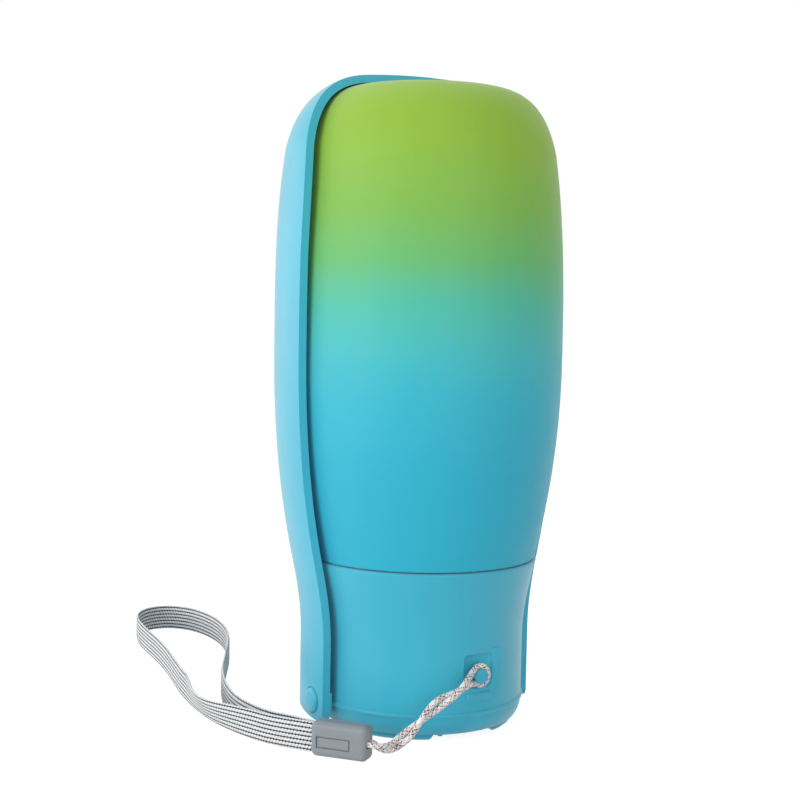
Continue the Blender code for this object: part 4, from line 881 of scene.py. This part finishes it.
def trough_side():
    """The trough's inner side in (radius, height), from its lower end up to the axis."""
    flare = (TROUGH_CAP_INNER, FLARE_START_HEIGHT)
    seam = (TROUGH_SEAM_INNER, SEAM_HEIGHT)
    belly = (TROUGH_BELLY_INNER, TROUGH_BELLY_HEIGHT)
    shoulder = (TROUGH_SHOULDER_INNER, SHOULDER_HEIGHT)
    side = [(TROUGH_CAP_INNER, TROUGH_END_HEIGHT - CUT_OVERRUN / 2)]
    side += leaning(flare, 0.0, seam, TROUGH_SEAM_LEAN)
    side += leaning(seam, TROUGH_SEAM_LEAN, belly, 0.0)
    side += leaning(belly, 0.0, shoulder, SHOULDER_LEAN)
    side += crown(shoulder, TROUGH_DOME_RADIUS, TROUGH_TOP_INNER - DOME_CROWN)
    return side + dome(TROUGH_DOME_RADIUS, TROUGH_TOP_INNER)


def trough_front(reach):
    """What is cut off, in (Y, height): all in front of the leaf's edge and below its slanted lower end."""
    bend = (-TROUGH_FRONT, TROUGH_TOP - TROUGH_FRONT_DROP)
    outline = [(-reach, TROUGH_END_HEIGHT - CUT_OVERRUN), (-reach, TROUGH_TOP + CUT_OVERRUN)]
    outline += [(TROUGH_TOP_SETBACK * TROUGH_TIP_OVERRUN_SHARE, TROUGH_TOP + CUT_OVERRUN)]
    outline += flow(
        (TROUGH_TOP_SETBACK, TROUGH_TOP),
        (TROUGH_TIP_PULL, TROUGH_TOP - TROUGH_FRONT_DROP * TROUGH_TIP_PULL_SHARE),
        (-TROUGH_FRONT, bend[1] + TROUGH_FRONT_DROP * TROUGH_BEND_PULL_SHARE),
        bend,
        2 * FLOW_STEPS,
    )
    corner_y = TROUGH_CORNER_RADIUS - TROUGH_FRONT
    corner_z = TROUGH_END_HEIGHT + TROUGH_CORNER_RADIUS
    for i in range(TROUGH_CORNER_STEPS + 1):
        angle = math.pi + math.pi / 2 * i / TROUGH_CORNER_STEPS
        y = corner_y + TROUGH_CORNER_RADIUS * math.cos(angle)
        outline.append((y, corner_z + TROUGH_CORNER_RADIUS * math.sin(angle)))
    rise = TROUGH_BACK_RISE * (reach - corner_y) / (TROUGH_CAP_INNER + TROUGH_WALL - corner_y)
    return outline + [(reach, TROUGH_END_HEIGHT + rise), (reach, TROUGH_END_HEIGHT - CUT_OVERRUN)]


def make_trough(material):
    """The bowl that wraps the bottle, with a pad inside each arm that the hinge pin goes through."""
    inner = trough_side()
    outer = beside(inner, -TROUGH_WALL)
    outer[-1] = (0.0, TROUGH_TOP)
    trough = mesh_object("trough_bowl", turned(inner[::-1] + outer))
    reach = TROUGH_BELLY_OUTER + CUT_OVERRUN
    outline = trough_front(reach)
    cutter = bmesh.new()
    skin(cutter, [[cutter.verts.new((x, y, z)) for y, z in outline] for x in (-reach, reach)])
    combine(trough, cutter, "DIFFERENCE")
    round_edges(trough, TROUGH_EDGE_ROUND, 4)
    for side in (-1, 1):
        near, far = sorted((side * (CAP_RADIUS + PAD_CAP_GAP), side * (TROUGH_CAP_INNER + TROUGH_WALL / 2)))
        low = (near, PAD_FRONT_SETBACK - TROUGH_FRONT, HINGE_HEIGHT - PAD_BELOW)
        high = (far, PAD_BACK, HINGE_HEIGHT + PAD_ABOVE)
        combine(trough, block(low, high, PAD_ROUND), "UNION")
    bores = [
        (0, -reach), (PIN_SEAT_RADIUS, -reach), (PIN_SEAT_RADIUS, -PIN_SEAT_FLOOR),
        (PIN_BORE_RADIUS, -PIN_SEAT_FLOOR), (PIN_BORE_RADIUS, PIN_SEAT_FLOOR),
        (PIN_SEAT_RADIUS, PIN_SEAT_FLOOR), (PIN_SEAT_RADIUS, reach), (0, reach),
    ]
    combine(trough, turned(bores, "X", (0, 0, HINGE_HEIGHT), SMALL_ROUND_STEPS), "DIFFERENCE")
    finish_shading(trough, material)
    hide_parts("trough")
    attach(trough, "trough")


def make_hinge_pins(material):
    """Pins with a low dome that stands just proud of the trough's arms."""
    base = PIN_SEAT_FLOOR + FIT_GAP
    outline = [(0, PIN_LOW.x)] + [(PIN_RADIUS + wider, PIN_LOW.x + along) for wider, along in PIN_TIP]
    outline += [(PIN_RADIUS, base), (PIN_HEAD_RADIUS, base)]
    for i in range(PIN_DOME_STEPS):
        angle = math.pi / 2 * i / PIN_DOME_STEPS
        rise = (PIN_HIGH.x - base) * math.sin(angle) ** PIN_DOME_RISE_POWER
        outline.append((PIN_HEAD_RADIUS * math.cos(angle) ** PIN_DOME_SIDE_POWER, base + rise))
    outline.append((0, PIN_HIGH.x))
    for side, word in ((-1, "left"), (1, "right")):
        mirrored = [(radius, side * along) for radius, along in outline]
        pin = mesh_object(f"pin_{word}", turned(mirrored, "X", (0, 0, HINGE_HEIGHT), SMALL_ROUND_STEPS))
        finish_shading(pin, material)
        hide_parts(f"hinge_pin_{word}")
        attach(pin, "cap")


def band_route():
    """The band's lower edge on the floor: out of the clasp, round the loop and back."""
    across = Vector((-CLASP_ALONG.y, CLASP_ALONG.x, 0))
    clasp = Vector((CLASP_CENTRE.x, CLASP_CENTRE.y, 0))
    layer = (BAND_THICKNESS + BAND_LAYER_GAP) / 2
    inside = clasp - CLASP_ALONG * (CLASP_LENGTH / 2 - BAND_POCKET_LENGTH + BAND_LAYER_GAP)
    mouth = clasp - CLASP_ALONG * (CLASP_LENGTH / 2 + BAND_THICKNESS)
    front = [inside - across * layer, mouth - across * layer]
    back = [mouth + across * layer, inside + across * layer]
    return front + [clasp + Vector((*p, 0)) for p in BAND_ROUTE] + back


def band_rings():
    """For each place along the band: its middle, the directions across and up it, and the way gone."""
    points = smooth_route(band_route(), BAND_STEP)
    length = length_of(points)
    in_clasp = (CLASP_HEIGHT - BAND_WIDTH) / 2
    rings, gone = [], 0.0
    for i, place in enumerate(points):
        gone += (place - points[max(i - 1, 0)]).length
        along = heading(points, i)
        across = Vector((-along.y, along.x, 0))
        lean = BAND_LEAN * eased(1 - abs(gone - BAND_LEAN_PLACE) / BAND_LEAN_SPREAD)
        free = eased(min(gone, length - gone) / BAND_CLASP_REACH - 0.5)
        up = Vector((0, 0, math.cos(lean))) + across * math.sin(lean)
        side = across * math.cos(lean) - Vector((0, 0, math.sin(lean)))
        lift = in_clasp + (BAND_LIFT - in_clasp) * free + BAND_THICKNESS / 2 * math.sin(lean)
        rings.append((place + Vector((0, 0, lift)) + up * BAND_WIDTH / 2, side, up, gone))
    return rings


def band_section():
    """The band's outline, as (across its thickness, up its width, wale), each side ribbed."""
    half, thick = BAND_WIDTH / 2, BAND_THICKNESS / 2
    count = BAND_WALES * BAND_WALE_POINTS
    rows = []
    for face in (1, -1):
        for i in range(count + 1):
            share = i / count
            up = (2 * share - 1) * (half - thick / 2) * face
            wale = (up / half + 1) / 2 * BAND_WALES
            rib = abs(math.cos(math.pi * wale))
            edge = min(1.0, BAND_EDGE_SLOPE * min(share, 1 - share) + BAND_EDGE_SHARE)
            depth = 1 - BAND_RIB_DEPTH_SHARE * (1 - rib) ** BAND_RIB_POWER
            rows.append((face * thick * edge * depth, up, wale))
        rows.append((0.0, half * face, BAND_WALES if face > 0 else 0.0))
    return rows


def make_band(material):
    """The flat band, as one closed strip along its route."""
    rings = band_rings()
    section = band_section()
    bm = bmesh.new()
    along_layer = bm.verts.layers.float.new("along")
    wale_layer = bm.verts.layers.float.new("wale")
    loops = []
    for middle, side, up, gone in rings:
        loop = []
        for thick, width, wale in section:
            vert = bm.verts.new(middle + side * thick + up * width)
            vert[along_layer] = gone
            vert[wale_layer] = wale
            loop.append(vert)
        loops.append(loop)
    skin(bm, loops)
    band = mesh_object("woven_band", bm, material)
    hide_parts("wrist_band")
    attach(band, "cap")


def cord_middle():
    """The middle of the cord's two strands, from inside the clasp's pocket to the stud."""
    mouth = CLASP_CENTRE + CLASP_ALONG * CLASP_LENGTH / 2
    start = mouth - CLASP_ALONG * (CORD_POCKET_LENGTH - CORD_END_GAP)
    route = [Vector((x, y - CAP_RADIUS, z)) for x, y, z in CORD_PAIR_ROUTE]
    return [start, start.lerp(mouth, 0.5), mouth] + route


def cord_points():
    """One cord: out along one side of the pair, round the stud, and back along the other."""
    pair = smooth_route(cord_middle(), count=CORD_POINTS // 2)
    half = CORD_STRAND_SPACING / 2
    strands = ([], [])
    for i, place in enumerate(pair):
        along = heading(pair, i)
        level = along.cross(Vector((0, 0, 1))).normalized()
        up = level.cross(along).normalized()
        free = max(i / (len(pair) - 1) - CORD_STRAIGHT_SHARE, 0) / (1 - CORD_STRAIGHT_SHARE)
        angle = math.pi / 2 + math.pi * CORD_HALF_TURNS * (free - 1)
        offset = level * math.cos(angle) * half + up * math.sin(angle) * half
        strands[0].append(place - offset)
        strands[1].append(place + offset)
    stud = Vector((LUG_SIDE, -CAP_RADIUS - CORD_DIAMETER / 4, LUG_HEIGHT))
    loop = []
    for i in range(CORD_LOOP_STEPS + 1):
        angle = math.radians(-CORD_LOOP_REACH + 2 * CORD_LOOP_REACH * i / CORD_LOOP_STEPS)
        offset = Vector((CORD_LOOP_RADIUS * math.cos(angle), 0, CORD_LOOP_RADIUS * math.sin(angle)))
        loop.append(stud + offset)
    return strands[0] + loop + strands[1][::-1]


YARN_COLOURS = [colour(250, 248, 245)] * CORD_YARNS
YARN_COLOURS[2] = colour(226, 150, 144)
YARN_COLOURS[5] = colour(34, 24, 26)
YARN_COLOURS[8] = colour(84, 58, 54)
YARN_COLOURS[10] = colour(236, 188, 182)


def braid(around, along):
    """How proud the braid's surface is there, and which yarn's colour shows."""
    best, shown = 0.0, YARN_COLOURS[0]
    over = math.floor(around * CORD_YARNS + along / CORD_BRAID_PITCH * CORD_YARNS)
    over += math.floor(around * CORD_YARNS - along / CORD_BRAID_PITCH * CORD_YARNS)
    for turn in (1, -1):
        phase = around * CORD_YARNS + turn * along / CORD_BRAID_PITCH * CORD_YARNS
        yarn = math.floor(phase)
        rise = math.sin(math.pi * (phase - yarn)) ** YARN_ROUND_POWER
        if over % 2 == (0 if turn > 0 else 1):
            rise += YARN_OVER_RISE
        if rise > best:
            best = rise
            shift = 0 if turn > 0 else YARN_BACK_SHIFT
            shown = YARN_COLOURS[(yarn * YARN_STRIDE + shift) % len(YARN_COLOURS)]
    return min(best / (1 + YARN_OVER_RISE), 1.0), shown


def make_cord(material):
    """The round braid, with every yarn's rise and colour in its mesh."""
    points = smooth_route(smooth_route(cord_points(), count=CORD_POINTS), CORD_STEP)
    bm = bmesh.new()
    yarn_layer = bm.verts.layers.float_color.new("yarn")
    loops, gone = [], 0.0
    side = Vector((0, 0, 1))
    for i, place in enumerate(points):
        gone += (place - points[max(i - 1, 0)]).length
        along = heading(points, i)
        side = (side - along * side.dot(along)).normalized()
        third = along.cross(side)
        loop = []
        for j in range(CORD_SIDES):
            angle = 2 * math.pi * j / CORD_SIDES
            rise, shown = braid(j / CORD_SIDES, gone)
            radius = CORD_DIAMETER / 2 - CORD_YARN_DEPTH * (1 - rise)
            vert = bm.verts.new(place + (side * math.cos(angle) + third * math.sin(angle)) * radius)
            vert[yarn_layer] = (*shown, 1.0)
            loop.append(vert)
        loops.append(loop)
    skin(bm, loops)
    cord = mesh_object("braided_cord", bm, material)
    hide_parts("lanyard_cord")
    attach(cord, "cap")


def make_clasp(material):
    """Two rounded half shells round the ends of the band and the cord."""
    turn = Matrix.Translation(CLASP_CENTRE) @ Matrix.Rotation(CLASP_TURN, 4, "Z")
    half_length, half_height, half_depth = CLASP_LENGTH / 2, CLASP_HEIGHT / 2, CLASP_DEPTH / 2
    band_half_height = BAND_WIDTH / 2 + FIT_GAP / 2
    band_depth = BAND_THICKNESS + BAND_LAYER_GAP / 2 + FIT_GAP
    cutters = [
        block(
            (-half_length - CUT_OVERRUN, -band_depth, -band_half_height),
            (-half_length + BAND_POCKET_LENGTH, band_depth, band_half_height),
        ),
        block(
            (half_length - CORD_POCKET_LENGTH, -CORD_POCKET_HALF_DEPTH, -CORD_POCKET_HALF_HEIGHT),
            (half_length + CUT_OVERRUN, CORD_POCKET_HALF_DEPTH, CORD_POCKET_HALF_HEIGHT),
        ),
    ]
    panel_middle = Vector((-CLASP_PANEL_SIDE, -half_depth, -CLASP_PANEL_DROP))
    panel_reach = Vector((CLASP_PANEL_LENGTH / 2, CLASP_PANEL_DEPTH, CLASP_PANEL_HEIGHT / 2))
    groove = block(panel_middle - panel_reach, panel_middle + panel_reach)
    island_reach = Vector((panel_reach.x - CLASP_PANEL_GROOVE, 0, panel_reach.z - CLASP_PANEL_GROOVE))
    island = block(
        panel_middle - island_reach + Vector((0, CLASP_PANEL_SINK, 0)),
        panel_middle + island_reach + Vector((0, CLASP_PANEL_DEPTH * 2, 0)),
    )
    corner = Vector((half_length, half_depth, half_height))
    for side, word in ((-1, "front"), (1, "back")):
        body = block(-corner, corner, CLASP_ROUND, 6)
        cut = bmesh.ops.bisect_plane(
            body,
            geom=body.verts[:] + body.edges[:] + body.faces[:],
            plane_co=(0, side * CLASP_SPLIT / 2, 0),
            plane_no=(0, -side, 0),
            clear_outer=True,
        )
        rim = [g for g in cut["geom_cut"] if isinstance(g, bmesh.types.BMEdge)]
        bmesh.ops.holes_fill(body, edges=rim)
        shell = mesh_object(f"clasp_half_{word}", body)
        for cutter in cutters:
            combine(shell, cutter.copy(), "DIFFERENCE")
        if side < 0:
            combine(shell, groove, "DIFFERENCE")
            combine(shell, island, "UNION")
        shell.data.transform(Matrix.Translation(AXIS) @ turn @ Matrix.Translation(-AXIS))
        finish_shading(shell, material, CLASP_SHARP_ANGLE)
        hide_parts(f"clasp_{word}")
        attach(shell, "cap")
    for cutter in cutters:
        cutter.free()


def make_spring(material):
    """The button's spring, as the frame has it, in a mesh of its own."""
    node = frame["nodes"]["button_spring"]
    bm = bmesh.new()
    bm.from_mesh(node.data)
    bm.transform(node.matrix_world)
    bm.transform(Matrix.Translation(-AXIS))
    spring = mesh_object("button_coil", bm, material)
    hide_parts("button_spring")
    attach(spring, "cap")
    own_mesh(spring)


def dress_hidden_parts(blue, white, rubber):
    """The frame's own solids that keep their shape and get a full finish."""
    for material, names in (
        (blue, ("base_plate", "push_button")),
        (white, ("valve_housing", "valve_plug", "valve_stem", "spring_seat_washer")),
        (rubber, ("valve_seal", "stem_o_ring", "inlet_gasket", "neck_gasket", "vent_valve")),
    ):
        for name in names:
            mesh = frame["nodes"][name].data
            mesh.materials.clear()
            mesh.materials.append(material)


def view_turn():
    """Turns the view's own right, away and up into the frame's X, Y and Z."""
    return Matrix.Rotation(CAMERA_AZIMUTH, 4, "Z")


def show_white(nodes, lit, white, output):
    """White for rays from the camera, mirrored or through glass, and the lit shader for all others."""
    rays = nodes.node("ShaderNodeLightPath").outputs
    share = rays["Is Camera Ray"]
    for word in ("Is Glossy Ray", "Is Transmission Ray"):
        share = nodes.math("MAXIMUM", share, rays[word])
    both = nodes.node("ShaderNodeMixShader", {0: share, 1: lit.outputs[0], 2: white.outputs[0]})
    nodes.set(nodes.tree.nodes[output], "Surface", both.outputs[0])


def make_floor():
    """A plain white floor that runs out of view and keeps the object's shadow."""
    bm = bmesh.new()
    bmesh.ops.create_grid(bm, x_segments=1, y_segments=1, size=FLOOR_SIZE)
    look = Look("white_floor", (FLOOR_GREY,) * 3, roughness=0.9)
    glow = look.node("ShaderNodeEmission", {"Color": (1, 1, 1, 1), "Strength": FLOOR_GLOW})
    plain = look.node("ShaderNodeBsdfDiffuse", {"Color": (*(FLOOR_SHADOW,) * 3, 1)})
    white = look.node("ShaderNodeAddShader", {0: glow.outputs[0], 1: plain.outputs[0]})
    show_white(look, look.shader, white, "Material Output")
    look.paint(specular_ior_level=0.0)
    floor = mesh_object("floor", bm, look.material, smooth=False)


def make_world():
    """A white background, and a plain surround that is paler on the view's left than on its right."""
    world = bpy.data.worlds.new("studio")
    world.use_nodes = True
    nodes = Nodes(world.node_tree)
    direction = nodes.node("ShaderNodeTexCoord").outputs["Generated"]
    left = view_turn() @ Vector((-1, 0, 0))
    toward = nodes.node("ShaderNodeVectorMath", {0: direction, 1: left}, operation="DOT_PRODUCT")
    level = nodes.spread(toward.outputs["Value"], -1.0, 1.0, WORLD_RIGHT, WORLD_LEFT)
    surround = nodes.tree.nodes["Background"]
    nodes.set(surround, "Color", (*WORLD_TINT, 1))
    nodes.set(surround, "Strength", level)
    white = nodes.node("ShaderNodeBackground", {"Color": (1, 1, 1, 1)})
    show_white(nodes, surround, white, "World Output")
    bpy.context.scene.world = world


def add_softbox(name, place, size, power):
    """A soft lamp that is aimed at the middle of the object."""
    lamp = bpy.data.lights.new(name, "AREA")
    lamp.shape = "RECTANGLE"
    lamp.size, lamp.size_y = size
    lamp.energy = power
    obj = link(bpy.data.objects.new(name, lamp))
    turn = Matrix.Translation(AXIS) @ view_turn()
    start, end = turn @ Vector(place), turn @ Vector(LAMP_TARGET)
    obj.location = start
    obj.rotation_euler = (end - start).to_track_quat("-Z", "Y").to_euler()


def make_camera():
    """The photograph's own camera."""
    data = bpy.data.cameras.new("camera")
    data.lens = CAMERA_LENS
    data.sensor_width = SENSOR_WIDTH
    data.clip_start = CAMERA_NEAR
    camera = link(bpy.data.objects.new("camera", data))
    aim = Matrix.Rotation(CAMERA_YAW, 4, "Z") @ Matrix.Rotation(CAMERA_PITCH, 4, "X")
    aim = aim @ Matrix.Rotation(CAMERA_ROLL, 4, "Y") @ Matrix.Rotation(math.pi / 2, 4, "X")
    place = Matrix.Translation((0, -CAMERA_DISTANCE, CAMERA_HEIGHT))
    camera.matrix_world = Matrix.Translation(AXIS) @ view_turn() @ place @ aim
    bpy.context.scene.camera = camera


def main():
    """Builds and dresses every piece, then the floor, the surround and the lamps."""
    bpy.context.scene.view_settings.view_transform = "Standard"
    make_camera()
    make_cord(cord_yarn())
    make_band(webbing())
    blue = blue_plastic()
    make_bottle(bottle_coating())
    make_cap(blue)
    make_trough(blue)
    make_hinge_pins(blue)
    make_clasp(clasp_plastic())
    make_spring(spring_steel())
    dress_hidden_parts(blue, inner_plastic(), silicone())
    make_floor()
    make_world()
    for lamp in LAMPS:
        add_softbox(*lamp)


main()
